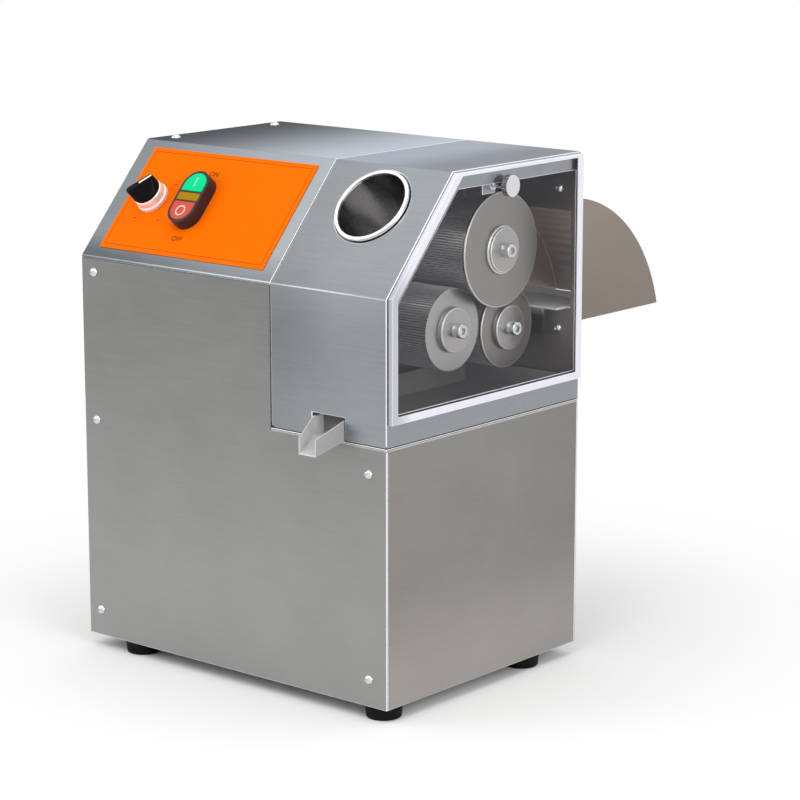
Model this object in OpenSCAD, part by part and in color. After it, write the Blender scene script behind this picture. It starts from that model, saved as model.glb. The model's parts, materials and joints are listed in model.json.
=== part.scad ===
// Electric sugarcane juicer. Three grooved rollers stand behind a clear side window and
// are geared together by a drive inside a stainless cabinet. Cane goes in by the slanted
// tube, juice leaves by the front spout and the crushed cane by the hood at the rear.
// Millimetres, +Z up, origin on the floor under the middle of the overall box.

/* [Cabinet] */
// Width of the cabinet, left to right
cabinet_w = 360; // [310:1:420]
// Depth of the cabinet, front to rear
cabinet_d = 265; // [225:1:310]
// Height of the cabinet above its feet
cabinet_h = 450; // [390:1:520]
// Height that the slope takes below the roof
slope_rise = 97; // [88:1:112]
// Depth that the slope takes between front and roof
slope_run = 86; // [78:1:100]
// Outer radius of the folded edges along the slope
bend_r = 3; // [1:0.5:4]
// Width of the roller chamber under its cover
chamber_w = 130; // [112:1:150]
// Thickness of the cabinet sheet
sheet_t = 1.5; // [1:0.1:2]
// Thickness of the deck sheet
deck_t = 2; // [1.5:0.1:3]
// Thickness of the base pan
pan_t = 2; // [1.5:0.1:3]
// Height of the base pan's side lips
pan_lip_h = 16; // [8:1:25]
// Width of the screw flanges inside the side panels
flange_w = 28; // [26:1:34]

/* [Feet] */
// Height of a rubber foot
foot_h = 12; // [8:0.5:20]
// Diameter of a foot where it meets the base
foot_top_d = 33; // [26:1:40]
// Diameter of a foot at the floor
foot_bottom_d = 31; // [20:1:34]
// Rounding of a foot's lower edge
foot_round = 2; // [1:0.5:5]
// Distance of the left feet from the left side
foot_left = 52; // [30:1:60]
// Distance of the right feet from the right side
foot_right = 18; // [17:1:40]
// Distance of the front feet from the front
foot_inset_y = 17.5; // [17:0.5:50]
// Distance of the rear feet from the rear
foot_rear = 57; // [24:1:60]
// Diameter of the stud moulded into a foot
foot_stud_d = 6; // [4:0.5:8]
// Length of that stud above the foot
foot_stud_l = 8; // [4:0.5:12]

/* [Panel screws] */
// Diameter of a dome head
screw_head_d = 9; // [7:0.5:10]
// Height of a dome head
screw_head_h = 3; // [2:0.5:4]
// Diameter of a screw shank
screw_d = 4; // [3:0.5:5]
// Length of a screw shank
screw_l = 7; // [5:0.5:10]
// Distance of the left screws from the left side
screw_left = 15; // [10:1:20]
// Distance of the right screws from the right side
screw_right = 20; // [14:1:24]
// Distance of a screw from the end of its panel edge
screw_end = 24; // [16:1:30]
// Distance of the front roof screw from the slope
roof_screw_front = 20; // [14:1:40]
// Distance of the rear roof screw from the rear
roof_screw_rear = 26; // [16:1:40]

/* [Vents and gland] */
// Number of vent slots in the rear panel
vent_n = 9; // [4:1:12]
// Length of a vent slot
vent_l = 90; // [50:1:110]
// Height of a vent slot
vent_h = 4; // [3:0.5:6]
// Spacing of the vent slots
vent_step = 11; // [8:0.5:14]
// Height of the lowest slot above the base
vent_z = 70; // [50:1:90]
// Distance of the vents from the left side
vent_x = 110; // [95:1:115]
// Distance of the cable gland from the left side
gland_x = 60; // [45:1:80]
// Height of the cable gland above the base
gland_z = 45; // [30:1:60]
// Diameter of the gland's threaded neck
gland_d = 16; // [12:1:20]
// Bore of the gland
gland_bore_d = 8; // [6:0.5:10]

/* [Rollers] */
// Distance of the top roller's axis in front of the rear
top_from_rear = 82.5; // [80:0.5:90]
// Gap between the top roller's flange and the roof
roof_gap = 29; // [24:0.5:34]
// Height of the lowest roller above the deck
tray_room = 32.5; // [28:0.5:38]
// Rearward offset of the rear roller's axis from the top one
rear_offset = 26.5; // [24:0.5:29]
// Radius of the top roller over its crests
top_roller_r = 41.5; // [38:0.1:45]
// Gap between the top roller and the front one
front_nip = 4.6; // [3:0.1:6]
// Gap between the top roller and the rear one
rear_nip = 1.25; // [0.8:0.05:3]
// Gap between the two lower rollers
lower_gap = 4.3; // [2:0.1:6]
// Grooves round the top roller
top_grooves = 110; // [60:1:130]
// Grooves round each lower roller
lower_grooves = 96; // [60:1:110]
// Depth of a groove
groove_depth = 1; // [0.5:0.1:1.5]
// Height of the top roller's end flange over its crests
top_flange_over = 9.5; // [6:0.5:11]
// Height of the rear roller's end disc over its crests
rear_disc_over = 0.3; // [0:0.1:0.6]
// Thickness of the flange and the end disc
end_disc_t = 3; // [2:0.5:4]
// Distance of the top flange's face from the right side
top_end_gap = 24; // [23:0.5:26]
// Distance of the lower rollers' faces from the right side
lower_end_gap = 38; // [34:0.5:42]
// Gap between the rollers and the chamber wall
roller_wall_gap = 3; // [2:0.5:5]
// Diameter of the roller shafts
shaft_d = 20; // [18:0.5:22]
// Diameter of the shaft collar behind each roller
collar_d = 28; // [26:0.5:30]
// Diameter of the end washers
washer_d = 40; // [34:1:44]
// Thickness of the lower washers, and of each step of the top one
washer_t = 4.5; // [3:0.5:5]
// Extra diameter of the top washer's first step
washer_step = 3; // [2:0.5:4]
// Chamfer of the washers and end discs
rim_chamfer = 0.6; // [0.3:0.1:1]
// Head diameter of the end bolts
bolt_head_d = 13; // [10:0.5:15]
// Head height of the end bolts
bolt_head_h = 8; // [6:0.5:8.5]
// Thread diameter of the end bolts
bolt_d = 8; // [6:0.5:9]
// Length of the end bolts under the head
bolt_l = 28; // [22:1:35]
// Chamfer of the bolt heads
bolt_chamfer = 0.8; // [0.4:0.1:1.2]
// Width across flats of a socket in a bolt head
bolt_socket = 6; // [4:0.5:7]

/* [Gears and bearings] */
// Module of all the gears
gear_m = 2.5; // [2.4:0.01:2.6]
// Teeth of the top roller's gear
top_teeth = 35; // [35:1:35]
// Teeth of the front roller's gear
front_teeth = 31; // [31:1:31]
// Teeth of the rear roller's gear
rear_teeth = 28; // [28:1:28]
// Teeth of the bull gear
bull_teeth = 56; // [54:1:57]
// Teeth of the drive pinion
pinion_teeth = 16; // [16:1:18]
// Face width of a lower roller's gear
gear_w = 15; // [12:0.5:17]
// Face width of the bull gear
bull_w = 18; // [14:0.5:20]
// Diameter of the gear hubs
gear_hub_d = 34; // [30:1:38]
// Backlash between meshing teeth
backlash = 0.25; // [0.2:0.05:0.4]
// Outside diameter of a bearing
bearing_od = 42; // [38:1:44]
// Outside diameter of a shaft seal
seal_od = 34; // [32:0.5:36]
// Thickness of the bearing plates
plate_t = 12; // [10:0.5:14]
// Clear width between the bearing plates
gear_cell_w = 48; // [46:0.5:54]
// Thickness of the chamber wall
wall_t = 3; // [2:0.5:4]
// Width of the plates' front leg
plate_leg_w = 25; // [18:1:30]
// Gap between the motor and the arch in the plates
arch_gap = 8; // [5:1:12]
// Gap between the plates and the contact blocks behind the slope
plate_slope_gap = 4; // [2:0.5:6]
// Distance of the plates' rear edge from the rear
plate_rear = 10; // [8:1:14]
// Distance of the plates' top edge below the roof
plate_top_gap = 17; // [12:1:22]
// Diameter of the tie rods between the plates
tie_rod_d = 16; // [14:1:18]

/* [Drive] */
// Forward offset of the pinion and the motor from the top roller's axis
pinion_offset = 17.5; // [12:0.5:22]
// Gap between the gearbox and the base pan
gearbox_floor_gap = 8; // [6:1:12]
// Radius of the motor over its fins
motor_r = 62; // [56:1:64]
// Depth of the motor's fins
motor_fin = 5; // [3:0.5:7]
// Number of fins round the motor
motor_fins = 36; // [24:1:48]
// Length of the finned motor body
motor_l = 150; // [120:1:165]
// Length of the motor's end bell
end_bell_l = 18; // [12:1:24]
// Gap between the gearbox and the left side
drive_gap = 12; // [8:1:30]
// Thickness of the gearbox's cover
gearbox_cover_t = 14; // [10:1:18]
// Radius of the gearbox round its output
gearbox_top_r = 45; // [40:1:50]
// Diameter of the bolts in the gearbox's cover
gearbox_bolt_d = 8; // [6:0.5:10]
// Radius of the gearbox round its input
gearbox_low_r = 70; // [66:1:74]
// Length of the boss round the output shaft
gearbox_boss_l = 6; // [4:0.5:8]

/* [Roller cover] */
// Gap between the cover and the cabinet beside it
cover_seam = 0.8; // [0.5:0.1:1.5]
// Gap under the cover at rest
cover_seat = 0.4; // [0.3:0.1:0.8]
// Distance of the feed tube's axis from the right side
tube_from_right = 64; // [63:0.5:68]
// Distance of the feed tube's axis down the slope from the roof
tube_from_top = 43.1; // [41:0.1:48]
// Outside diameter of the feed tube
tube_d = 72; // [68:0.5:73]
// Wall of the feed tube
tube_wall = 3.5; // [2.5:0.5:4.5]
// Height of the tube's rim over the slope
tube_rim_h = 4; // [3:0.5:6]
// Gap between the long side of the tube's end and the rollers
tube_end_gap = 12; // [6:0.5:18]
// How much shorter the tube's end is on the window's side
tube_cut = 20; // [10:1:25]
// Width of the collar that carries the tube under the sheet
tube_collar_w = 5; // [4:0.5:6]
// Gap between the tube and the edge of its hole
tube_gap = 1.2; // [0.8:0.1:2]
// Width of the notch over the spout
notch_w = 37; // [36.5:0.5:40]
// Height of the notch over the spout
notch_h = 20; // [19.5:0.5:24]
// Height of the steel strip under the window
window_strip = 21; // [16:1:26]
// Thickness of the clear window
pane_t = 3; // [2:0.5:4]
// Width of the trim on the window at its front, slope and rear
trim_w = 6; // [4:0.5:8]
// Width of the trim on the window under the roof
trim_top_w = 1.5; // [1:0.5:4]
// Width of the trim on the window at its foot
trim_low_w = 5; // [4:0.5:8]
// Width of the trim outside the window
trim_out = 1.5; // [1:0.1:2]
// Thickness of the trim over the window
trim_t = 1.5; // [1:0.1:2]
// Width of the cover's flange behind the slope and roof edges of the window
frame_w = 16; // [13:0.5:18]
// Distance of the thumb screw in front of the top roller's axis
thumb_ahead = 28; // [20:0.5:36]
// Distance of the thumb screw below the roof
thumb_drop = 18.5; // [17:0.5:22]
// Diameter of the thumb screw's knob
thumb_d = 19; // [16:0.5:22]
// Thickness of the thumb screw's knob
thumb_t = 6; // [4:0.5:8]
// Thread diameter of the thumb screw
thumb_thread_d = 6; // [5:0.5:8]
// Rounding of the cover's lower left corner
cover_corner_r = 5; // [2:0.5:8]
// Length of the thumb screw from the window to its nut
thumb_l = 21; // [19:0.5:22]

/* [Juice tray] */
// Height of the juice tray's walls
tray_h = 22; // [18:1:24]
// Wall of the juice tray
tray_t = 1.2; // [1:0.1:1.5]
// Clear space round the juice tray
tray_gap = 9; // [6:1:12]
// Outside width of the spout at the cover
spout_w = 34.5; // [30:0.5:36]
// Outside width of the spout at its tip
spout_tip_w = 19; // [14:0.5:24]
// Length of the spout in front of the cover
spout_l = 27; // [20:1:35]
// Height of the spout's walls at the cover
spout_h = 17.5; // [14:0.5:19]
// Height of the spout's walls at its tip
spout_tip_h = 14.5; // [8:0.5:16]
// Drop of the spout's floor to its tip
spout_drop = 10; // [6:0.5:14]

/* [Crushed cane outlet] */
// Radius of the hood's curved sheet
hood_r = 148; // [144:1:152]
// Distance of the hood's centre of curve in front of the rear wall
hood_centre_in = 16; // [12:1:20]
// Distance of the hood's top below the roof
hood_top_gap = 42; // [36:1:50]
// Height of the hood's open lower edge above the deck
hood_bottom_h = 69.5; // [66:0.5:72]
// Distance of the hood from the right side
hood_right = 5; // [4:0.5:8]
// Distance of the hood from the cover's left edge
hood_left = 8; // [6:0.5:12]
// Width of the hood's fixing flange above and below
hood_flange = 15; // [13:0.5:16]
// Thickness of the guide plate
guide_t = 2; // [1.5:0.1:3]
// Height of the guide's front edge above the deck
guide_h = 84; // [82:0.5:85]
// Length of the guide plate, front to rear
guide_l = 58; // [45:1:65]
// Fall of the guide plate over its length
guide_fall = 0.5; // [0:0.5:12]
// Height of the drip lip along the guide's rear edge
guide_lip_h = 5; // [2:0.5:8]
// Gap between the guide plate and the rear roller
guide_gap = 1.5; // [1:0.1:2.5]
// Distance of the hood bolts from the right side and from the cover's left edge
hood_bolt_in = 23; // [18:1:28]

/* [Controls] */
// Distance of the overlay from the left side
overlay_x = 16.5; // [12:0.5:20]
// Distance of the overlay from the roller cover
overlay_right = 14.5; // [10:0.5:20]
// Distance of the overlay's lower edge up the slope
overlay_up = 10.7; // [8:0.1:14]
// Distance of the overlay's upper edge from the roof, along the slope
overlay_top = 8.9; // [6:0.1:14]
// Thickness of the overlay
overlay_t = 0.8; // [0.5:0.1:1.2]
// Distance of the selector from the left side
selector_x = 49.4; // [44:0.1:54]
// Distance of the push-button from the left side
button_x = 101.3; // [96:0.1:106]
// Distance of both switches up the slope
switch_up = 66.5; // [60:0.5:72]
// Diameter of the switch barrels
barrel_d = 22; // [20:0.5:24]
// Length of the switch barrels below the overlay
barrel_l = 30; // [26:1:34]
// Diameter of the selector's bezel
bezel_d = 31; // [29:0.5:34]
// Height of the selector's bezel
bezel_h = 12; // [9:0.5:14]
// Height of the bezel's wider foot
bezel_foot_h = 5; // [3:0.5:6]
// Width of the step between the bezel's foot and its collar
bezel_step = 1.2; // [0.8:0.1:2]
// Diameter of the knob's round base
knob_d = 27.6; // [25:0.2:28]
// Height of the knob's round base
knob_base_h = 2; // [1:0.5:3]
// Height of the knob's ridge above the bezel
knob_h = 12.5; // [10:0.5:16]
// Length of the knob's ridge
ridge_l = 28; // [24:0.5:31]
// Width of the knob's ridge
ridge_w = 5.5; // [4:0.5:8]
// Angle of the knob's pointer from straight up the slope, clockwise
knob_angle = 45; // [0:1:90]
// Width of the push-button housing
housing_w = 30; // [28:0.5:33]
// Length of the push-button housing
housing_l = 55; // [52:0.5:60]
// Height of the push-button housing
housing_h = 12; // [10:0.5:14]
// Wall of the push-button housing
housing_wall = 2.5; // [2:0.1:3]
// Thickness of the floor of the push-button housing
housing_floor = 3; // [2.5:0.1:3.5]
// Height of the buttons over the housing
button_proud = 0.4; // [0:0.1:3]
// Travel of a button
button_travel = 3; // [2:0.5:3]
// Length of the pilot lens between the buttons
lens_l = 8; // [6:0.5:10]
// Thickness of the bars beside the pilot lens
divider_t = 1.6; // [1.2:0.1:2]
// Diameter of a button's plunger
plunger_d = 5; // [4:0.5:5.5]
// Width of a contact block
contact_w = 28; // [24:1:32]
// Depth of a contact block
contact_d = 30; // [26:1:34]
// Height of a contact block
contact_h = 34; // [28:1:40]

/* [Fits] */
// Radial running clearance of a shaft in its bearing or seal
run_clear = 0.05; // [0.02:0.01:0.1]
// Radial clearance of pieces that are fixed to each other
fit_clear = 0.03; // [0.02:0.01:0.06]
// Side clearance of a piece that slides in a pocket
slide_clear = 0.3; // [0.2:0.05:0.4]
// Radial clearance of a screw in its hole
hole_clear = 0.2; // [0.1:0.05:0.3]

/* [Hidden] */
$fn = 64;
STEEL = "#b9bbbd";
DARK_STEEL = "#8d8f92";
CAST = "#5f6a70";
BLACK = "#1b1b1c";
pressure_angle = 20;
eps = 0.01;

// Heights and the slope's line
pan_z = foot_h;
floor_z = pan_z + pan_t;
roof_z = foot_h + cabinet_h;
slope_z = roof_z - slope_rise;
slope_a = atan2(slope_rise, slope_run);
slope_len = norm([slope_rise, slope_run]);
front_top_z = slope_z - sheet_t / cos(slope_a);
// Depth of a [y, z] point behind the slope
function slope_depth(p) = p[0] * sin(slope_a) - (p[1] - slope_z) * cos(slope_a);

// Stations along X, from the chamber wall towards the left
cover_x = cabinet_w - chamber_w;
wall_x = cover_x - wall_t;
right_plate_x = wall_x - plate_t;
left_plate_x = right_plate_x - gear_cell_w - plate_t;
gear_end_gap = 3;
front_gear_x = right_plate_x - gear_end_gap - gear_w;
rear_gear_x = left_plate_x + plate_t + gear_end_gap;
bull_gap = 6;
bull_x = left_plate_x - bull_gap - bull_w;
pinion_over = 2;
pinion_x = bull_x - pinion_over;
gearbox_run_gap = 3;
gearbox_face_x = pinion_x - gearbox_run_gap - gearbox_boss_l;
gearbox_w = gearbox_face_x - gearbox_cover_t - gearbox_bolt_d / 2 - drive_gap;
hub_gap = 1;

// Stations along X at the free ends of the rollers
roller_x = cover_x + roller_wall_gap;
top_end_x = cabinet_w - top_end_gap;
lower_end_x = cabinet_w - lower_end_gap;

// Radii of the rollers, set by the gears' centre distances and the gaps
front_reach = gear_m * (top_teeth + front_teeth) / 2;
rear_reach = gear_m * (top_teeth + rear_teeth) / 2;
pinion_reach = gear_m * (bull_teeth + pinion_teeth) / 2;
front_roller_r = front_reach - top_roller_r - front_nip;
rear_roller_r = rear_reach - top_roller_r - rear_nip;
top_flange_r = top_roller_r + top_flange_over;
rear_disc_r = rear_roller_r + rear_disc_over;
lower_reach = front_roller_r + rear_disc_r + lower_gap;

// Axes of the rollers, the pinion and the motor as [y, z]
function below(p, dy, reach) = [p[0] + dy, p[1] - sqrt(reach * reach - dy * dy)];
spread_a = acos((pow(front_reach, 2) + pow(rear_reach, 2) - pow(lower_reach, 2))
    / (2 * front_reach * rear_reach));
front_offset = front_reach * sin(spread_a - asin(rear_offset / rear_reach));
top_axis = [cabinet_d - top_from_rear, roof_z - roof_gap - top_flange_r];
front_axis = below(top_axis, -front_offset, front_reach);
rear_axis = below(top_axis, rear_offset, rear_reach);
pinion_axis = below(top_axis, -pinion_offset, pinion_reach);
motor_axis = [pinion_axis[0], floor_z + gearbox_floor_gap + gearbox_low_r];
roller_axes = [top_axis, front_axis, rear_axis];

// The deck under the lowest roller, and the cover on it
deck_z = rear_axis[1] - rear_disc_r - tray_room;
cover_z = deck_z + cover_seat;

// Places of the tie rods as [y, z]
tie_gap = 3;
tie_inset = 13;
arch_r = motor_r + arch_gap;
plate_front = motor_axis[0] - arch_r - plate_leg_w;
plate_back_y = cabinet_d - plate_rear;
plate_top_z = roof_z - plate_top_gap;
top_gear_tip_r = gear_m * (top_teeth + 2) / 2;
tie_rods_at = [
    [top_axis[0] - top_gear_tip_r - tie_gap - tie_rod_d / 2, top_axis[1]],
    [plate_back_y - tie_inset, plate_top_z - tie_inset],
    [plate_front + tie_inset, deck_z],
    [plate_back_y - tie_inset, deck_z],
];
tie_spigot_d = 10;
tie_nut_h = 5;
tie_nut_af = 17;
plate_foot_w = 20;

// Screw places on the panels as [x, z], and on the roof as [x, y]
screw_low_z = pan_z + screw_end;
screw_deck_z = deck_z - screw_end;
front_screws = [
    [screw_left, slope_z - screw_end * 0.6],
    [screw_left, screw_deck_z],
    [screw_left, screw_low_z],
    [cabinet_w - screw_right, screw_deck_z],
    [cabinet_w - screw_right, screw_low_z],
];
rear_screws = [
    [screw_left, roof_z - screw_end],
    [screw_left, screw_deck_z],
    [screw_left, screw_low_z],
    [cabinet_w - screw_right, screw_deck_z],
    [cabinet_w - screw_right, screw_low_z],
];
roof_screws = [
    [screw_left + sheet_t, slope_run + roof_screw_front],
    [screw_left + sheet_t, cabinet_d - roof_screw_rear],
];

// The crushed cane outlet
hood_x = cover_x + hood_left;
hood_end_x = cabinet_w - hood_right;
hood_low_z = deck_z + hood_bottom_h;
hood_wall_z = roof_z - hood_top_gap;
hood_axis = [cabinet_d - hood_centre_in,
             hood_wall_z - sqrt(pow(hood_r, 2) - pow(hood_centre_in, 2))];
hood_tip_y = hood_axis[0] + sqrt(pow(hood_r, 2) - pow(hood_low_z - hood_axis[1], 2));
hood_bolt_xs = [cover_x + hood_bolt_in, cabinet_w - hood_bolt_in];
hood_bolt_zs = [hood_low_z - hood_flange / 2, hood_wall_z + hood_flange / 2];
guide_z = deck_z + guide_h;
guide_y = rear_axis[0]
    + sqrt(pow(rear_disc_r + guide_gap, 2) - pow(guide_z - guide_t - rear_axis[1], 2));
guide_side_gap = 1;
guide_flange_in = hood_bolt_in + screw_head_d;
guide_slope = guide_fall / guide_l;
guide_under_gap = 0.5;
// Height of the guide plate's upper face at a depth
function guide_top(y) = guide_z - guide_slope * (y - guide_y);
outlet_low_z = guide_top(cabinet_d) - guide_t - guide_under_gap;
outlet_side = 4;
guide_x = hood_x + outlet_side + guide_side_gap;
guide_end_x = hood_end_x - outlet_side - guide_side_gap;

// The thumb screw and its bracket
thumb_axis = [top_axis[0] - thumb_ahead, roof_z - thumb_drop];
thumb_seat_x = cabinet_w + pane_t;
bracket_t = 2;
bracket_w = 18;
bracket_x = thumb_seat_x - thumb_l;
thumb_nut_h = 5;
thumb_nut_af = 10;

// The feed tube
tube_x = cabinet_w - tube_from_right;
tube_up = slope_len - tube_from_top;
tube_l = min(slope_depth(top_axis) - top_flange_r, slope_depth(front_axis) - front_roller_r)
    - tube_end_gap;

// The overlay
overlay_w = cover_x - overlay_x - overlay_right;
overlay_l = slope_len - overlay_up - overlay_top;

// The spout and the tray
spout_x = tube_x;
tray_x = cover_x + tray_gap / 2;
tray_end_x = cabinet_w - tray_gap - sheet_t;
tray_y = sheet_t + tray_gap;
tray_end_y = cabinet_d - sheet_t - tray_gap / 2;

// The push-button's pocket, measured from the overlay's face
pocket_z = overlay_t + housing_floor;
button_top = overlay_t + housing_h + button_proud;
button_low = pocket_z + button_travel + 2 * slide_clear;
plunger_at = barrel_d / 2 - plunger_d / 2 - 1.5;
plunger_l = barrel_l / 2;

// The overall box, which sets the origin
box_x = [0, thumb_seat_x + trim_t + thumb_t];
box_y = [-spout_l, hood_tip_y];
origin_at = [(box_x[0] + box_x[1]) / 2, (box_y[0] + box_y[1]) / 2];

// Moves the cabinet's front left corner so that the origin is under the middle of the box
module place() {
    translate([-origin_at[0], -origin_at[1], 0]) children();
}

// Extrudes a [y, z] outline along X
module along_x(x, length) {
    translate([x, 0, 0]) rotate([90, 0, 90]) linear_extrude(length) children();
}

// Extrudes an [x, z] outline along Y
module along_y(y, length) {
    translate([0, y + length, 0]) rotate([90, 0, 0]) linear_extrude(length) children();
}

// Stands a shape on an axis along X, with its own Z along +X
module on_axis(axis, x) {
    translate([x, axis[0], axis[1]]) rotate([90, 0, 90]) children();
}

// Stands a shape on the slope, with its own Y up the slope and its own Z outward
module on_slope(x, up, height = 0) {
    translate([x, up * cos(slope_a), slope_z + up * sin(slope_a)])
        rotate([slope_a, 0, 0]) translate([0, 0, height]) children();
}

// Side outline of the upper cabinet as [y, z] points, moved inward by a distance on each edge
function side_outline(bottom, front, rear, top, slope) = [
    [front, bottom],
    [cabinet_d - rear, bottom],
    [cabinet_d - rear, roof_z - top],
    [(roof_z - top - slope_z + slope / cos(slope_a)) / tan(slope_a), roof_z - top],
    [front, slope_z + front * tan(slope_a) - slope / cos(slope_a)],
];

// Points of an arc that rounds the corner between two straight edges
function fillet(before, corner, after, r) = let (
    steps = 5,
    u = (before - corner) / norm(before - corner),
    v = (after - corner) / norm(after - corner),
    half = acos(u * v) / 2,
    centre = corner + (u + v) / norm(u + v) * r / sin(half),
    from = corner + u * r / tan(half) - centre,
    to = corner + v * r / tan(half) - centre
) [
    for (i = [0 : steps]) let (arm = from * (steps - i) + to * i)
        centre + arm / norm(arm) * r
];

// Outer edge from a height on the front, over the bends at the slope's ends, to the rear
function bent_edge(front_low) = let (
    low = [0, front_low],
    knee = [0, slope_z],
    brow = [slope_run, roof_z],
    rear = [cabinet_d, roof_z]
) concat([low], fillet(low, knee, brow, bend_r), fillet(knee, brow, rear, bend_r), [rear]);

// Outline of a sheet folded over the slope and roof, with a front wall down to a height
function folded_sheet(front_low) = let (
    inner = side_outline(front_low, sheet_t, 0, sheet_t, sheet_t)
) concat(bent_edge(front_low), [inner[2], inner[3], inner[4], inner[0]]);

// Outline with round ends, centred, long along Y
module stadium(width, length) {
    square([width, length - width], center = true);
    for (side = [-1, 1]) translate([0, side * (length - width) / 2]) circle(d = width);
}

// Regular hexagon by its width across flats
module hexagon(across) {
    circle(d = across / cos(30), $fn = 6);
}

// Flat ring standing on z = 0
module ring(outer_r, inner_r, height) {
    difference() {
        cylinder(r = outer_r, h = height);
        translate([0, 0, -eps]) cylinder(r = inner_r, h = height + 2 * eps);
    }
}

// Dome-head screw whose head stands on z = 0 and whose shank hangs below
module dome_screw(shank_l) {
    dome_r = (pow(screw_head_d / 2, 2) + pow(screw_head_h, 2)) / (2 * screw_head_h);
    socket_d = screw_d * 0.8;
    difference() {
        union() {
            intersection() {
                translate([0, 0, screw_head_h - dome_r]) sphere(r = dome_r);
                cylinder(d = screw_head_d, h = screw_head_h);
            }
            translate([0, 0, -shank_l]) cylinder(d = screw_d, h = shank_l + eps);
        }
        translate([0, 0, screw_head_h / 2]) cylinder(d = socket_d, h = screw_head_h, $fn = 6);
    }
}

// Clearance hole for such a screw, through everything near z = 0
module screw_hole() {
    translate([0, 0, -screw_l]) cylinder(d = screw_d + 2 * hole_clear, h = 2 * screw_l);
}

// Places children on the front face, the rear face or the roof, with their Z outward
module at_front(p) { translate([p[0], 0, p[1]]) rotate([90, 0, 0]) children(); }
module at_rear(p) { translate([p[0], cabinet_d, p[1]]) rotate([-90, 0, 0]) children(); }
module at_roof(p) { translate([p[0], p[1], roof_z]) children(); }

// Involute spur gear standing on z = 0, with one tooth on its own X axis
function involute(angle) = tan(angle) * 180 / PI - angle;
function polar(r, angle) = r * [cos(angle), sin(angle)];
function gear_outline(teeth) = let (
    pitch_r = gear_m * teeth / 2,
    base_r = pitch_r * cos(pressure_angle),
    tip_r = pitch_r + gear_m,
    root_r = pitch_r - 1.25 * gear_m,
    half = 90 / teeth - backlash / 4 / pitch_r * 180 / PI + involute(pressure_angle),
    start_r = max(base_r, root_r),
    steps = 3,
    radii = [for (i = [0 : steps]) start_r + (tip_r - start_r) * i / steps],
    spread = [for (r = radii) half - involute(acos(min(1, base_r / r)))]
) [
    for (i = [0 : teeth - 1]) let (turn = i * 360 / teeth)
        each concat(
            [polar(root_r, turn - spread[0])],
            [for (k = [0 : steps]) polar(radii[k], turn - spread[k])],
            [for (k = [steps : -1 : 0]) polar(radii[k], turn + spread[k])],
            [polar(root_r, turn + spread[0])]
        )
];

module spur_gear(teeth, width) {
    linear_extrude(width) polygon(gear_outline(teeth));
}

// Turn that brings a gear into mesh with one at phase zero, seen from the latter's axis
function mesh_phase(from, to, from_teeth, to_teeth) = let (
    toward = atan2(to[1] - from[1], to[0] - from[0])
) toward + 180 + (toward * from_teeth + 180) / to_teeth;

// Drum with grooves along its length, standing on z = 0
function groove_outline(r, grooves) = let (pitch = 360 / grooves, crest = 0.22 * pitch) [
    for (i = [0 : grooves - 1]) each [
        polar(r, i * pitch - crest),
        polar(r, i * pitch + crest),
        polar(r - groove_depth, (i + 0.5) * pitch),
    ]
];

module grooved_drum(r, grooves, length) {
    difference() {
        linear_extrude(length) polygon(groove_outline(r, grooves));
        translate([0, 0, -eps]) cylinder(d = shaft_d + 2 * fit_clear, h = length + 2 * eps);
    }
}

// Shaft from one station to another, with its collar and the thread hole in its free end
module roller_shaft(axis, from_x, to_x) {
    end_gap = 0.5;
    on_axis(axis, 0) difference() {
        union() {
            translate([0, 0, from_x]) cylinder(d = shaft_d, h = to_x - end_gap - from_x);
            translate([0, 0, wall_x + end_gap])
                cylinder(d = collar_d, h = roller_x - wall_x - end_gap);
        }
        translate([0, 0, to_x - bolt_l])
            cylinder(d = bolt_d + 2 * fit_clear, h = bolt_l + eps);
    }
}

// Gear keyed to a shaft, with a hub that fills the space between the bearing plates
module shaft_gear(axis, teeth, x, width, phase) {
    hub_x = left_plate_x + plate_t + hub_gap;
    hub_l = gear_cell_w - 2 * hub_gap;
    on_axis(axis, 0) difference() {
        union() {
            translate([0, 0, x]) rotate(phase) spur_gear(teeth, width);
            translate([0, 0, hub_x]) cylinder(d = gear_hub_d, h = hub_l);
        }
        translate([0, 0, hub_x - eps])
            cylinder(d = shaft_d + 2 * fit_clear, h = hub_l + 2 * eps);
    }
}

// End disc clamped to a drum, with its outer face at a station
module end_disc(axis, r, face_x) {
    on_axis(axis, face_x - end_disc_t) difference() {
        rotate_extrude() polygon([
            [0, 0], [r, 0], [r, end_disc_t - rim_chamfer], [r - rim_chamfer, end_disc_t],
            [0, end_disc_t],
        ]);
        translate([0, 0, -eps])
            cylinder(d = shaft_d + 2 * fit_clear, h = end_disc_t + 2 * eps);
    }
}

// Washer with chamfered rims, as a list of [diameter, thickness] steps
module end_washer(axis, face_x, steps) {
    on_axis(axis, face_x) difference() {
        for (i = [0 : len(steps) - 1]) {
            z = i == 0 ? 0 : steps[i - 1][1];
            r = steps[i][0] / 2;
            t = steps[i][1];
            translate([0, 0, z]) rotate_extrude() polygon([
                [0, 0], [r, 0], [r, t - rim_chamfer], [r - rim_chamfer, t], [0, t],
            ]);
        }
        translate([0, 0, -eps])
            cylinder(d = bolt_d + 2 * hole_clear, h = 3 * washer_t);
    }
}

// Socket-head bolt whose head stands on a face and whose shank enters the shaft
module end_bolt(axis, face_x, clamp_t) {
    r = bolt_head_d / 2;
    under = bolt_l - clamp_t - 2;
    on_axis(axis, face_x) difference() {
        union() {
            rotate_extrude() polygon([
                [0, 0], [r, 0], [r, bolt_head_h - bolt_chamfer],
                [r - bolt_chamfer, bolt_head_h], [0, bolt_head_h],
            ]);
            translate([0, 0, -clamp_t - under]) cylinder(d = bolt_d, h = clamp_t + under + eps);
        }
        translate([0, 0, bolt_head_h / 2]) linear_extrude(bolt_head_h) hexagon(bolt_socket);
    }
}

// Cabinet panels

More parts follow.
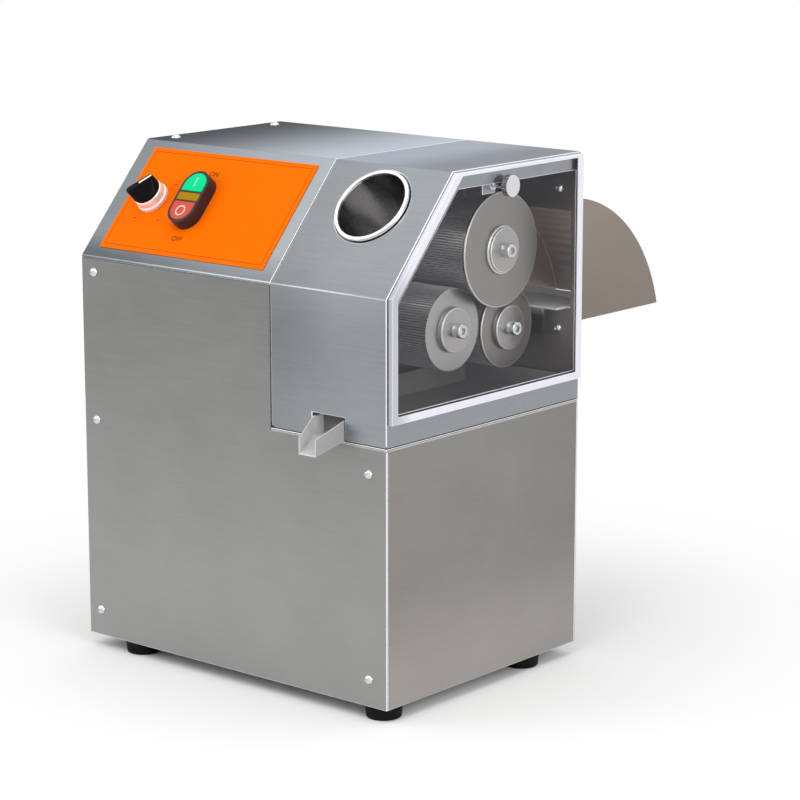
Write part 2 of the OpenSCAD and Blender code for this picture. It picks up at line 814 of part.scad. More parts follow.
module base_pan() color(DARK_STEEL) place() difference() {
    union() {
        translate([sheet_t, sheet_t, pan_z])
            cube([cabinet_w - 2 * sheet_t, cabinet_d - 2 * sheet_t, pan_t]);
        for (x = [sheet_t, cabinet_w - 2 * sheet_t])
            translate([x, 3 * sheet_t, pan_z])
                cube([sheet_t, cabinet_d - 6 * sheet_t, pan_lip_h]);
    }
    for (x = [foot_left, cabinet_w - foot_right])
        for (y = [foot_inset_y, cabinet_d - foot_rear])
            translate([x, y, 0]) cylinder(d = foot_stud_d + 2 * hole_clear, h = pan_z + pan_lip_h);
}

module rubber_feet() color(BLACK) place() {
    top_r = foot_top_d / 2;
    low_r = foot_bottom_d / 2;
    for (x = [foot_left, cabinet_w - foot_right])
        for (y = [foot_inset_y, cabinet_d - foot_rear])
            translate([x, y, 0]) {
                rotate_extrude() polygon(concat(
                    [[0, 0]],
                    [for (a = [-90 : 22.5 : 0])
                        [low_r - foot_round, foot_round] + foot_round * [cos(a), sin(a)]],
                    [[top_r, foot_h], [0, foot_h]]
                ));
                cylinder(d = foot_stud_d, h = foot_h + foot_stud_l);
            }
}

module front_panel() color(STEEL) place() difference() {
    along_y(0, sheet_t) polygon([
        [0, pan_z], [cabinet_w, pan_z], [cabinet_w, deck_z - deck_t],
        [cover_x, deck_z - deck_t], [cover_x, front_top_z], [0, front_top_z],
    ]);
    for (p = front_screws) at_front(p) screw_hole();
}

// Upright flanges along the front and rear edges of a side panel
module panel_flanges(x, front_z, rear_z) {
    translate([x, sheet_t, floor_z]) cube([flange_w, sheet_t, front_z - floor_z]);
    translate([x, cabinet_d - 2 * sheet_t, floor_z])
        cube([flange_w, sheet_t, rear_z - floor_z]);
}

module left_panel() color(STEEL) place() difference() {
    union() {
        along_x(0, sheet_t)
            polygon(side_outline(pan_z, sheet_t, sheet_t, sheet_t, sheet_t));
        panel_flanges(sheet_t, front_top_z, roof_z - sheet_t);
        translate([sheet_t, slope_run + sheet_t, roof_z - 2 * sheet_t])
            cube([flange_w, cabinet_d - slope_run - 3 * sheet_t, sheet_t]);
    }
    for (p = front_screws) at_front(p) screw_hole();
    for (p = rear_screws) at_rear(p) screw_hole();
    for (p = roof_screws) at_roof(p) screw_hole();
}

module right_panel() color(STEEL) place() difference() {
    union() {
        translate([cabinet_w - sheet_t, sheet_t, pan_z])
            cube([sheet_t, cabinet_d - 2 * sheet_t, deck_z - deck_t - pan_z]);
        panel_flanges(cabinet_w - sheet_t - flange_w, deck_z - deck_t, deck_z - deck_t);
    }
    for (p = front_screws) at_front(p) screw_hole();
    for (p = rear_screws) at_rear(p) screw_hole();
}

module rear_panel() color(STEEL) place() difference() {
    along_y(cabinet_d - sheet_t, sheet_t) polygon([
        [0, pan_z], [cabinet_w, pan_z], [cabinet_w, deck_z - deck_t],
        [cover_x, deck_z - deck_t], [cover_x, roof_z - sheet_t], [0, roof_z - sheet_t],
    ]);
    along_y(cabinet_d - 2 * sheet_t, 3 * sheet_t)
        for (i = [0 : vent_n - 1])
            translate([vent_x + vent_l / 2, pan_z + vent_z + i * vent_step])
                rotate(90) stadium(vent_h, vent_l);
    for (p = rear_screws) at_rear(p) screw_hole();
    at_rear([gland_x, pan_z + gland_z]) translate([0, 0, -screw_l])
        cylinder(d = gland_d + 2 * hole_clear, h = 2 * screw_l);
}

module control_top() color(STEEL) place() difference() {
    along_x(0, cover_x) polygon([
        for (p = folded_sheet(front_top_z)) if (p != [sheet_t, front_top_z]) p
    ]);
    for (x = [selector_x, button_x])
        on_slope(x, switch_up, -barrel_l) cylinder(d = barrel_d + 2 * hole_clear, h = 2 * barrel_l);
    for (p = roof_screws) at_roof(p) screw_hole();
}

module panel_screws() color(STEEL) place() {
    for (p = front_screws) at_front(p) dome_screw(screw_l);
    for (p = rear_screws) at_rear(p) dome_screw(screw_l);
    for (p = roof_screws) at_roof(p) dome_screw(screw_l);
}

module cable_gland() color(BLACK) place() {
    body_l = 7;
    dome_l = 14;
    nut_l = 5;
    across = gland_d * 1.4;
    at_rear([gland_x, pan_z + gland_z]) difference() {
        union() {
            linear_extrude(body_l) hexagon(across);
            translate([0, 0, body_l]) rotate_extrude() polygon([
                [0, 0], [across / 2, 0], [across / 2, dome_l * 0.6],
                [gland_bore_d / 2 + 2, dome_l], [0, dome_l],
            ]);
            translate([0, 0, -sheet_t - nut_l])
                cylinder(d = gland_d, h = sheet_t + nut_l + eps);
            translate([0, 0, -sheet_t - nut_l]) linear_extrude(nut_l) hexagon(across);
        }
        translate([0, 0, -sheet_t - nut_l - eps])
            cylinder(d = gland_bore_d, h = sheet_t + nut_l + body_l + dome_l + 2 * eps);
    }
}

module deck_plate() color(STEEL) place()
    translate([cover_x, 0, deck_z - deck_t])
        cube([cabinet_w - cover_x, cabinet_d, deck_t]);

// Roller chamber

module chamber_wall() color(DARK_STEEL) place() difference() {
    skirt = 40;
    along_x(wall_x, wall_t)
        polygon(side_outline(deck_z - skirt, sheet_t, sheet_t, sheet_t, sheet_t));
    for (axis = roller_axes)
        on_axis(axis, wall_x - eps) cylinder(d = seal_od + 2 * fit_clear, h = wall_t + 2 * eps);
}

module chamber_rear_wall() color(DARK_STEEL) place() difference() {
    side_gap = cover_seat;
    translate([cover_x, cabinet_d - sheet_t, deck_z])
        cube([cabinet_w - sheet_t - side_gap - cover_x, sheet_t,
              roof_z - sheet_t - cover_seat - deck_z]);
    translate([hood_x + outlet_side, cabinet_d - 2 * sheet_t, outlet_low_z])
        cube([hood_end_x - hood_x - 2 * outlet_side, 3 * sheet_t,
              hood_wall_z - 3 * outlet_side - outlet_low_z]);
    for (x = hood_bolt_xs) for (z = hood_bolt_zs) at_rear([x, z]) screw_hole();
}

// Plate with legs that stand astride the motor, and a bore for each roller bearing
module bearing_plate(x, foot_x) {
    foot_t = 8;
    switch_depth = barrel_l + contact_h + plate_slope_gap;
    difference() {
        union() {
            along_x(x, plate_t) polygon(
                side_outline(floor_z, plate_front, plate_rear, plate_top_gap, switch_depth));
            translate([foot_x, plate_front, floor_z])
                cube([plate_foot_w, plate_back_y - plate_front, foot_t]);
        }
        on_axis(motor_axis, x - plate_foot_w) cylinder(r = arch_r, h = plate_t + 2 * plate_foot_w);
        translate([x - plate_foot_w, motor_axis[0] - arch_r, 0])
            cube([plate_t + 2 * plate_foot_w, 2 * arch_r, motor_axis[1]]);
        for (axis = roller_axes)
            on_axis(axis, x - eps) cylinder(d = bearing_od + 2 * fit_clear, h = plate_t + 2 * eps);
        for (axis = tie_rods_at)
            on_axis(axis, x - eps) cylinder(d = tie_spigot_d + 2 * fit_clear, h = plate_t + 2 * eps);
    }
}

module left_bearing_plate() color(CAST) place()
    bearing_plate(left_plate_x, left_plate_x + plate_t - eps);

module right_bearing_plate() color(CAST) place()
    bearing_plate(right_plate_x, right_plate_x - plate_foot_w + eps);

module bearings() color(STEEL) place() {
    inner_r = shaft_d / 2 + run_clear;
    outer_r = bearing_od / 2;
    race = (outer_r - inner_r) / 3;
    recess = 1;
    for (x = [left_plate_x, right_plate_x])
        for (axis = roller_axes)
            on_axis(axis, x) rotate_extrude() polygon([
                [inner_r, 0], [inner_r + race, 0], [inner_r + race, recess],
                [outer_r - race, recess], [outer_r - race, 0], [outer_r, 0],
                [outer_r, plate_t], [outer_r - race, plate_t], [outer_r - race, plate_t - recess],
                [inner_r + race, plate_t - recess], [inner_r + race, plate_t], [inner_r, plate_t],
            ]);
}

module shaft_seals() color(BLACK) place()
    for (axis = roller_axes)
        on_axis(axis, wall_x) ring(seal_od / 2, collar_d / 2 + run_clear, wall_t + 1);

module tie_rods() color(STEEL) place()
    for (axis = tie_rods_at) on_axis(axis, 0) {
        translate([0, 0, left_plate_x + plate_t]) cylinder(d = tie_rod_d, h = gear_cell_w);
        translate([0, 0, left_plate_x - tie_nut_h])
            cylinder(d = tie_spigot_d, h = right_plate_x + plate_t - left_plate_x + tie_nut_h);
        translate([0, 0, left_plate_x - tie_nut_h])
            linear_extrude(tie_nut_h) hexagon(tie_nut_af);
    }

// Drive

// Side form of the gearbox, round the motor's axis below and the pinion's axis above
module gearbox_form(x, width) {
    on_axis(pinion_axis, x) cylinder(r = gearbox_top_r, h = width);
    on_axis(motor_axis, x) cylinder(r = gearbox_low_r, h = width);
    along_x(x, width) polygon([
        motor_axis - [gearbox_low_r, 0], motor_axis + [gearbox_low_r, 0],
        pinion_axis + [gearbox_top_r, 0], pinion_axis - [gearbox_top_r, 0],
    ]);
}

module gearbox_case() color(CAST) place() difference() {
    foot_over = 8;
    foot_t = 10;
    boss_r = 26;
    x = gearbox_face_x - gearbox_w;
    pedestal = gearbox_low_r * 0.8;
    union() {
        gearbox_form(x, gearbox_w);
        translate([x, motor_axis[0] - pedestal - foot_over, floor_z])
            cube([gearbox_w, 2 * (pedestal + foot_over), foot_t]);
        translate([x, motor_axis[0] - pedestal, floor_z])
            cube([gearbox_w, 2 * pedestal, motor_axis[1] - floor_z]);
        on_axis(pinion_axis, gearbox_face_x) cylinder(r = boss_r, h = gearbox_boss_l);
    }
    on_axis(pinion_axis, x + gearbox_w / 3)
        cylinder(d = shaft_d + 2 * run_clear, h = gearbox_w + gearbox_boss_l);
    translate([foot_left, cabinet_d - foot_rear, 0])
        cylinder(d = foot_stud_d + 4 * hole_clear, h = pan_z + foot_stud_l + hole_clear);
}

module gearbox_cover() color(CAST) place() {
    x = gearbox_face_x - gearbox_w - gearbox_cover_t;
    proud = gearbox_bolt_d / 2;
    gearbox_form(x, gearbox_cover_t);
    for (a = [-160 : 40 : -20])
        on_axis(motor_axis + polar(gearbox_low_r - gearbox_bolt_d, a), x - proud)
            cylinder(d = gearbox_bolt_d, h = gearbox_bolt_d);
    for (a = [20 : 70 : 160])
        on_axis(pinion_axis + polar(gearbox_top_r - gearbox_bolt_d, a), x - proud)
            cylinder(d = gearbox_bolt_d, h = gearbox_bolt_d);
}

module motor_body() color(CAST) place() {
    flange_t = 12;
    core_r = motor_r - motor_fin;
    fin_pitch = 360 / motor_fins;
    box_w = 62;
    box_h = 36;
    box_gap = 5;
    on_axis(motor_axis, gearbox_face_x) {
        cylinder(r = motor_r + 3, h = flange_t);
        translate([0, 0, flange_t]) linear_extrude(motor_l - flange_t)
            polygon([for (i = [0 : motor_fins - 1]) each [
                polar(core_r, (i - 0.32) * fin_pitch), polar(motor_r, (i - 0.14) * fin_pitch),
                polar(motor_r, (i + 0.14) * fin_pitch), polar(core_r, (i + 0.32) * fin_pitch),
            ]]);
    }
    translate([left_plate_x + plate_t + box_gap, motor_axis[0] - box_w / 2, motor_axis[1]])
        cube([gear_cell_w - 2 * box_gap, box_w, motor_r + box_h]);
}

module motor_end_bell() color(CAST) place()
    on_axis(motor_axis, gearbox_face_x + motor_l) rotate_extrude() polygon([
        [0, 0], [motor_r, 0], [motor_r, end_bell_l * 0.5], [motor_r * 0.8, end_bell_l],
        [0, end_bell_l],
    ]);

module pinion_shaft() color(DARK_STEEL) place() {
    shaft_x = gearbox_face_x - gearbox_w / 2;
    pinion_l = bull_w + 2 * pinion_over;
    phase = mesh_phase(top_axis, pinion_axis, bull_teeth, pinion_teeth);
    on_axis(pinion_axis, 0) {
        translate([0, 0, shaft_x]) cylinder(d = shaft_d, h = pinion_x + pinion_l - shaft_x);
        translate([0, 0, pinion_x]) rotate(phase) spur_gear(pinion_teeth, pinion_l);
    }
}

// Top roller

module top_shaft() color(STEEL) place() roller_shaft(top_axis, bull_x - 1, top_end_x);

module top_gear() color(DARK_STEEL) place() {
    x = left_plate_x + plate_t + gear_end_gap;
    shaft_gear(top_axis, top_teeth, x, gear_cell_w - 2 * gear_end_gap, 0);
}

module bull_gear() color(DARK_STEEL) place() {
    rim = 10;
    web_t = bull_w / 2;
    pitch_r = gear_m * bull_teeth / 2;
    on_axis(top_axis, bull_x) difference() {
        union() {
            difference() {
                spur_gear(bull_teeth, bull_w);
                for (z = [-eps, bull_w - web_t / 2])
                    translate([0, 0, z]) ring(pitch_r - rim, gear_hub_d / 2, web_t / 2 + eps);
            }
            cylinder(d = gear_hub_d, h = bull_w + bull_gap - hub_gap);
        }
        translate([0, 0, -eps])
            cylinder(d = shaft_d + 2 * fit_clear, h = bull_w + bull_gap + eps);
    }
}

module top_roller() color(STEEL) place()
    on_axis(top_axis, roller_x)
        grooved_drum(top_roller_r, top_grooves, top_end_x - end_disc_t - roller_x);

module top_flange() color(STEEL) place() end_disc(top_axis, top_flange_r, top_end_x);

module top_washer() color(STEEL) place()
    end_washer(top_axis, top_end_x, [[washer_d + washer_step, washer_t / 2], [washer_d, washer_t / 2]]);

module top_bolt() color(STEEL) place() end_bolt(top_axis, top_end_x + washer_t, washer_t);

// Front roller

module front_shaft() color(STEEL) place()
    roller_shaft(front_axis, left_plate_x, lower_end_x);

module front_gear() color(DARK_STEEL) place()
    shaft_gear(front_axis, front_teeth, front_gear_x, gear_w,
               mesh_phase(top_axis, front_axis, top_teeth, front_teeth));

module front_roller() color(STEEL) place()
    on_axis(front_axis, roller_x)
        grooved_drum(front_roller_r, lower_grooves, lower_end_x - roller_x);

module front_washer() color(STEEL) place()
    end_washer(front_axis, lower_end_x, [[washer_d, washer_t]]);

module front_bolt() color(STEEL) place() end_bolt(front_axis, lower_end_x + washer_t, washer_t);

// Rear roller

module rear_shaft() color(STEEL) place() roller_shaft(rear_axis, left_plate_x, lower_end_x);

module rear_gear() color(DARK_STEEL) place()
    shaft_gear(rear_axis, rear_teeth, rear_gear_x, gear_w,
               mesh_phase(top_axis, rear_axis, top_teeth, rear_teeth));

module rear_roller() color(STEEL) place()
    on_axis(rear_axis, roller_x)
        grooved_drum(rear_roller_r, lower_grooves, lower_end_x - end_disc_t - roller_x);

module rear_disc() color(STEEL) place() end_disc(rear_axis, rear_disc_r, lower_end_x);

module rear_washer() color(STEEL) place()
    end_washer(rear_axis, lower_end_x, [[washer_d, washer_t]]);

module rear_bolt() color(STEEL) place() end_bolt(rear_axis, lower_end_x + washer_t, washer_t);

// Juice and crushed cane

// Thin upright slice of the spout at a distance in front of the cover
module spout_slice(ahead, width, height, drop) {
    translate([spout_x - width / 2, -ahead, deck_z - drop]) cube([width, eps, height]);
}

module juice_tray() color(STEEL) place() {
    inner_w = spout_w - 2 * tray_t;
    tip_inner_w = spout_tip_w - 2 * tray_t;
    difference() {
        union() {
            difference() {
                translate([tray_x, tray_y, deck_z])
                    cube([tray_end_x - tray_x, tray_end_y - tray_y, tray_h]);
                translate([tray_x + tray_t, tray_y + tray_t, deck_z + tray_t])
                    cube([tray_end_x - tray_x - 2 * tray_t, tray_end_y - tray_y - 2 * tray_t, tray_h]);
            }
            translate([spout_x - spout_w / 2, 0, deck_z]) cube([spout_w, tray_y + tray_t, spout_h]);
            hull() {
                spout_slice(0, spout_w, spout_h, 0);
                spout_slice(spout_l, spout_tip_w, spout_tip_h, spout_drop);
            }
        }
        translate([spout_x - inner_w / 2, 0, deck_z + tray_t])
            cube([inner_w, tray_y + 2 * tray_t, tray_h]);
        hull() translate([0, 0, tray_t]) {
            spout_slice(-eps, inner_w, tray_h, 0);
            spout_slice(spout_l + 1, tip_inner_w, tray_h, spout_drop + spout_drop / spout_l);
        }
    }
}

module bagasse_guide() color(STEEL) place() {
    flange_y = cabinet_d - sheet_t - guide_t;
    flange_z = hood_low_z - hood_flange;
    end_y = guide_y + guide_l;
    along_x(guide_x, guide_end_x - guide_x) polygon([
        [guide_y, guide_top(guide_y)], [end_y - guide_t, guide_top(end_y - guide_t)],
        [end_y - guide_t, guide_top(end_y) + guide_lip_h], [end_y, guide_top(end_y) + guide_lip_h],
        [end_y, guide_top(end_y) - guide_t], [guide_y, guide_top(guide_y) - guide_t],
    ]);
    along_x(cover_x + guide_flange_in, lower_end_x - cover_x - guide_flange_in) polygon([
        [flange_y, flange_z], [flange_y + guide_t, flange_z],
        [flange_y + guide_t, guide_top(flange_y) - guide_t / 2],
        [flange_y, guide_top(flange_y) - guide_t / 2],
    ]);
}

module bagasse_hood() color(STEEL) place() {
    frame_low_z = hood_low_z - hood_flange;
    frame_high_z = hood_wall_z + hood_flange;
    wide = hood_end_x - hood_x;
    difference() {
        union() {
            translate([hood_x, cabinet_d, frame_low_z])
                cube([wide, sheet_t, frame_high_z - frame_low_z]);
            intersection() {
                on_axis(hood_axis, hood_x) cylinder(r = hood_r, h = wide, $fn = 128);
                translate([hood_x, cabinet_d, hood_low_z]) cube([wide, hood_r, hood_r]);
            }
        }
        intersection() {
            on_axis(hood_axis, hood_x + sheet_t)
                cylinder(r = hood_r - sheet_t, h = wide - 2 * sheet_t, $fn = 128);
            translate([hood_x, cabinet_d - eps, hood_low_z - eps]) cube([wide, hood_r, hood_r]);
        }
        for (x = hood_bolt_xs) for (z = hood_bolt_zs) at_rear([x, z]) screw_hole();
    }
}

module hood_bolts() color(STEEL) place() {
    nut_h = 4;
    nut_af = 8;
    for (x = hood_bolt_xs) for (z = hood_bolt_zs)
        translate([x, cabinet_d - sheet_t, z]) rotate([90, 0, 0]) {
            dome_screw(2 * sheet_t + nut_h);
            translate([0, 0, -2 * sheet_t - nut_h]) linear_extrude(nut_h) hexagon(nut_af);
        }
}

// Roller cover and window

module roller_cover() color(STEEL) place() {
    x = cover_x + cover_seam;
    difference() {
        union() {
            along_x(x, cabinet_w - x) polygon(folded_sheet(cover_z));
            along_x(cabinet_w - sheet_t, sheet_t) difference() {
                polygon(concat(bent_edge(cover_z), [[cabinet_d, cover_z]]));
                polygon(side_outline(cover_z + window_strip + trim_w, frame_w - trim_w / 2,
                                     trim_w + 1, frame_w, frame_w));
            }
            translate([bracket_x, thumb_axis[0] - bracket_w / 2, thumb_axis[1] - bracket_w / 2])
                cube([bracket_t, bracket_w, thumb_drop + bracket_w / 2 - sheet_t / 2]);
        }
        on_slope(tube_x, tube_up, -tube_d)
            cylinder(d = tube_d + 2 * tube_gap, h = 2 * tube_d);
        translate([spout_x - notch_w / 2, -eps, cover_z - eps])
            cube([notch_w, sheet_t + 2 * eps, notch_h]);
        on_axis(thumb_axis, bracket_x - eps)
            cylinder(d = thumb_thread_d + 2 * hole_clear, h = cabinet_w - bracket_x + 2 * eps);
        along_y(-eps, sheet_t + 2 * eps) difference() {
            translate([x - eps, cover_z - eps]) square(cover_corner_r + eps);
            translate([x, cover_z] + cover_corner_r * [1, 1]) circle(r = cover_corner_r);
        }
    }
}

module feed_tube() color(STEEL) place() on_slope(tube_x, tube_up) difference() {
    outer_r = tube_d / 2;
    inner_r = outer_r - tube_wall;
    bead = tube_wall / 2;
    collar_t = 2.5;
    rotate_extrude($fn = 96) polygon(concat(
        [[inner_r, -tube_l], [outer_r, -tube_l], [outer_r, -sheet_t - collar_t],
         [outer_r + tube_collar_w, -sheet_t - collar_t], [outer_r + tube_collar_w, -sheet_t],
         [outer_r, -sheet_t]],
        [for (a = [0 : 22.5 : 180])
            [inner_r + bead, tube_rim_h - bead] + bead * [cos(a), sin(a)]]
    ));
    translate([0, tube_d, 0]) rotate([90, 0, 0]) linear_extrude(2 * tube_d) polygon([
        [-outer_r, -tube_l], [outer_r, tube_cut - tube_l], [tube_d, tube_cut - tube_l],
        [tube_d, -tube_l - tube_cut], [-outer_r, -tube_l - tube_cut],
    ]);
}

// Outline of the window, grown outward by a distance at its foot, its roof edge and elsewhere
pane_inset = 3;
function pane_outline(low, top, other) = let (edge = pane_inset - other)
    side_outline(cover_z + window_strip - low, edge + 1, edge + 0.5, pane_inset - top, edge);

module window_pane() color("#dfe8ee", 0.3) place() difference() {
    along_x(cabinet_w, pane_t) polygon(pane_outline(0, 0, 0));
    on_axis(thumb_axis, cabinet_w - eps)
        cylinder(d = thumb_thread_d + 2 * hole_clear, h = pane_t + 2 * eps);
}

module window_trim() color("#e6e4ee") place() difference() {
    along_x(cabinet_w, pane_t + trim_t) difference() {
        polygon(pane_outline(trim_out, trim_out, trim_out));
        polygon(pane_outline(-trim_low_w, -trim_top_w, -trim_w));
    }
    along_x(cabinet_w - eps, pane_t + eps) polygon(pane_outline(0, 0, 0));
}

module thumb_screw() color(STEEL) place() {
    knurls = 30;
    knurl_depth = 0.5;
    step = 360 / knurls;
    shoulder_d = thumb_thread_d + 4;
    on_axis(thumb_axis, thumb_seat_x) {
        translate([0, 0, trim_t]) linear_extrude(thumb_t) polygon([
            for (i = [0 : knurls - 1]) each [
                polar(thumb_d / 2, (i - 0.2) * step), polar(thumb_d / 2, (i + 0.2) * step),
                polar(thumb_d / 2 - knurl_depth, (i + 0.5) * step),
            ]
        ]);
        translate([0, 0, slide_clear]) cylinder(d = shoulder_d, h = trim_t);
        translate([0, 0, -thumb_l - 1]) cylinder(d = thumb_thread_d, h = thumb_l + 1 + trim_t);
    }
}

module thumb_nut() color(STEEL) place()
    on_axis(thumb_axis, bracket_x + bracket_t) difference() {
        linear_extrude(thumb_nut_h) hexagon(thumb_nut_af);
        translate([0, 0, -eps])
            cylinder(d = thumb_thread_d + 2 * run_clear, h = thumb_nut_h + 2 * eps);
    }

// Controls

module control_overlay() color("#ff7a10") place() difference() {
    on_slope(overlay_x, overlay_up, eps) cube([overlay_w, overlay_l, overlay_t - 2 * eps]);
    for (x = [selector_x, button_x])
        on_slope(x, switch_up, -eps) cylinder(d = barrel_d + 2 * hole_clear, h = overlay_t + 2 * eps);
}

module selector_bezel() color("#d5d7d9") place() {
    stem_r = barrel_d / 4;
    foot_r = bezel_d / 2;
    collar_r = foot_r - bezel_step;
    top_z = overlay_t + bezel_h;
    foot_z = overlay_t + bezel_foot_h;
    on_slope(selector_x, switch_up) rotate_extrude() polygon([
        [stem_r + run_clear, overlay_t - barrel_l], [barrel_d / 2, overlay_t - barrel_l],
        [barrel_d / 2, overlay_t], [foot_r, overlay_t],
        [foot_r, foot_z - bezel_step], [collar_r, foot_z],
        [collar_r, top_z - bezel_step], [collar_r - bezel_step / 2, top_z],
        [stem_r + run_clear, top_z],
    ]);
}

module selector_knob() color(BLACK) place() {
    stem_r = barrel_d / 4;
    low_z = overlay_t + bezel_h + slide_clear;
    ridge_t = 1;
    on_slope(selector_x, switch_up) rotate(-knob_angle) {
        translate([0, 0, overlay_t - barrel_l / 2])
            cylinder(r = stem_r, h = barrel_l / 2 + bezel_h + knob_base_h);
        translate([0, 0, low_z]) hull() {
            cylinder(d = knob_d, h = knob_base_h);
            translate([0, 0, knob_h - ridge_t])
                linear_extrude(ridge_t) stadium(ridge_w, ridge_l);
        }
    }
}

// Outline of the housing's inside, moved inward by a clearance
module pocket(clearance) {
    inset = 2 * (housing_wall + clearance);
    stadium(housing_w - inset, housing_l - inset);
}

// Part of the housing's inside that holds the lens, at side 0, or the button at side 1 or -1
module bay(side, clearance) {
    from = lens_l / 2 + divider_t + clearance;
    intersection() {
        pocket(clearance);
        if (side == 0)
            square([housing_w, lens_l - 2 * clearance], center = true);
        else
            translate([-housing_w / 2, side > 0 ? from : -from - housing_l])
                square([housing_w, housing_l]);
    }
}

module button_housing() color(BLACK) place() on_slope(button_x, switch_up) difference() {
    union() {
        translate([0, 0, overlay_t]) linear_extrude(housing_h) stadium(housing_w, housing_l);
        translate([0, 0, overlay_t - barrel_l]) cylinder(d = barrel_d, h = barrel_l + eps);
    }
    for (side = [-1 : 1])
        translate([0, 0, pocket_z]) linear_extrude(housing_h) bay(side, 0);
    for (side = [-1, 1])
        translate([0, side * plunger_at, overlay_t - barrel_l / 2 - 2 * button_travel])
            cylinder(d = plunger_d + 2 * run_clear, h = barrel_l);
}

module pilot_lens() color("#c8900a") place() on_slope(button_x, switch_up, pocket_z)
    linear_extrude(housing_h + button_proud / 2 - housing_floor) bay(0, fit_clear);

// One half of the double push-button, on the side above or below the lens
module push_button(side) {
    on_slope(button_x, switch_up) {
        translate([0, 0, button_low]) linear_extrude(button_top - button_low)
            bay(side, slide_clear);
        translate([0, side * plunger_at, overlay_t - plunger_l])
            cylinder(d = plunger_d, h = plunger_l + button_low - overlay_t + eps);
    }
}

module green_button() color("#12c878") place() push_button(1);

module red_button() color("#e04040") place() push_button(-1);

module switch_contacts() color("#33373a") place() {
    for (x = [selector_x, button_x])
        on_slope(x, switch_up, overlay_t - barrel_l - contact_h)
            translate([-contact_w / 2, -contact_d / 2, 0]) cube([contact_w, contact_d, contact_h]);
}

base_pan();
rubber_feet();
front_panel();
left_panel();
right_panel();
rear_panel();
control_top();
panel_screws();
cable_gland();
deck_plate();
chamber_wall();
chamber_rear_wall();
left_bearing_plate();
right_bearing_plate();
bearings();
shaft_seals();
tie_rods();
gearbox_case();
gearbox_cover();
motor_body();
motor_end_bell();
pinion_shaft();
top_shaft();
top_gear();
bull_gear();
top_roller();
top_flange();
top_washer();
top_bolt();
front_shaft();
front_gear();
front_roller();
front_washer();
front_bolt();
rear_shaft();
rear_gear();
rear_roller();
rear_disc();
rear_washer();
rear_bolt();
juice_tray();
bagasse_guide();
bagasse_hood();
hood_bolts();
roller_cover();
feed_tube();
window_pane();
window_trim();
thumb_screw();
thumb_nut();
control_overlay();
selector_bezel();
selector_knob();
button_housing();
pilot_lens();
green_button();
red_button();
switch_contacts();
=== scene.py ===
"""Dresses the electric sugarcane juicer: finishes, printed marks, studio light and camera."""

import json
import logging
import math
from dataclasses import dataclass, field, replace
from enum import Enum

import bmesh
import bpy
from mathutils import Matrix, Vector


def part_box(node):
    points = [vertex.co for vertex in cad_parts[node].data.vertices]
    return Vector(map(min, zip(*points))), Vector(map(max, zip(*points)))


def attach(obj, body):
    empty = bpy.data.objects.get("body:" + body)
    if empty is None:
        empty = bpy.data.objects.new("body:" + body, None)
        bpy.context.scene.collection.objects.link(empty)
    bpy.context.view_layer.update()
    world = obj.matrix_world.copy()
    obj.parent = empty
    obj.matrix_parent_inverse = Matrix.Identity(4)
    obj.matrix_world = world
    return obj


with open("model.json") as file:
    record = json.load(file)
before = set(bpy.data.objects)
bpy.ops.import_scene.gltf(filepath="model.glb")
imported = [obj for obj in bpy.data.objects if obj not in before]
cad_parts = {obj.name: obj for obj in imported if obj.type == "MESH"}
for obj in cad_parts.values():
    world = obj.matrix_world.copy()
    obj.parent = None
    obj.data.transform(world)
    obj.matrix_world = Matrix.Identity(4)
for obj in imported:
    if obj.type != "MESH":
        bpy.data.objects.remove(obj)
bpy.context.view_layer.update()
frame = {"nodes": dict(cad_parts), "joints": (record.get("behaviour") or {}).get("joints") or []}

LOG = logging.getLogger("juicer")
Tree = bpy.types.NodeTree
Socket = bpy.types.NodeSocket
MM = 0.001
# Solids come as loose triangles: points this close are one, and faces this level are one
JOIN_MM = 0.01
LEVEL_DEG = 0.5
# Edges sharper than this are softened, in so many steps
SHARP_DEG = 40.0
EDGE_STEPS = 2
# Points of a print this close are one, and a letter's curves have so many steps
PRINT_JOIN_MM = 0.001
LETTER_STEPS = 4
# Points this close under a piece's highest one belong to its outer face
FACE_MM = 0.1
# Octaves of a fine grain and of soft clouds, and how strong each is beside the one before
GRAIN_OCTAVES = 3.0
CLOUD_OCTAVES = 4.0
OCTAVE_SHARE = 0.6
# Nearly all of a noise lies between these two values
NOISE_SPAN = (0.3, 0.7)
# Share of a face's direction along an axis: none of it counts at the first, all at the second
FACING_SPAN = (0.75, 0.98)
# The smoothest that an uneven surface gets
LEAST_ROUGHNESS = 0.02


class Axis(Enum):
    """An axis of the machine: along its front, from front to back, or up."""

    X = 0
    Y = 1
    Z = 2


class Roller(Enum):
    """The three rollers, by where they lie."""

    TOP = "top"
    FRONT = "front"
    REAR = "rear"


def linear(colour: str, gain: float = 1.0) -> tuple[float, float, float, float]:
    """Turns an sRGB hex colour to linear light.

    Args:
        colour: Six hex digits after a hash.
        gain: Factor on the linear values.

    Returns:
        Linear red, green, blue and an alpha of one.
    """
    parts = [int(colour[i:i + 2], 16) / 255 for i in (1, 3, 5)]
    light = [p / 12.92 if p <= 0.04045 else ((p + 0.055) / 1.055) ** 2.4 for p in parts]
    return (*[min(1.0, p * gain) for p in light], 1.0)


def add_node(tree: Tree, kind: str, settings: dict | None = None,
             links: dict | None = None) -> bpy.types.Node:
    """Adds a node with its settings and links.

    Args:
        tree: Tree that gets the node.
        kind: Blender's name for the kind of node.
        settings: Values by attribute name, or by input name or number.
        links: Output sockets by the name or number of the input they feed.

    Returns:
        The new node.
    """
    node = tree.nodes.new(kind)
    for key, value in (settings or {}).items():
        if isinstance(key, str) and hasattr(node, key):
            setattr(node, key, value)
        else:
            node.inputs[key].default_value = value
    for key, socket in (links or {}).items():
        tree.links.new(socket, node.inputs[key])
    return node


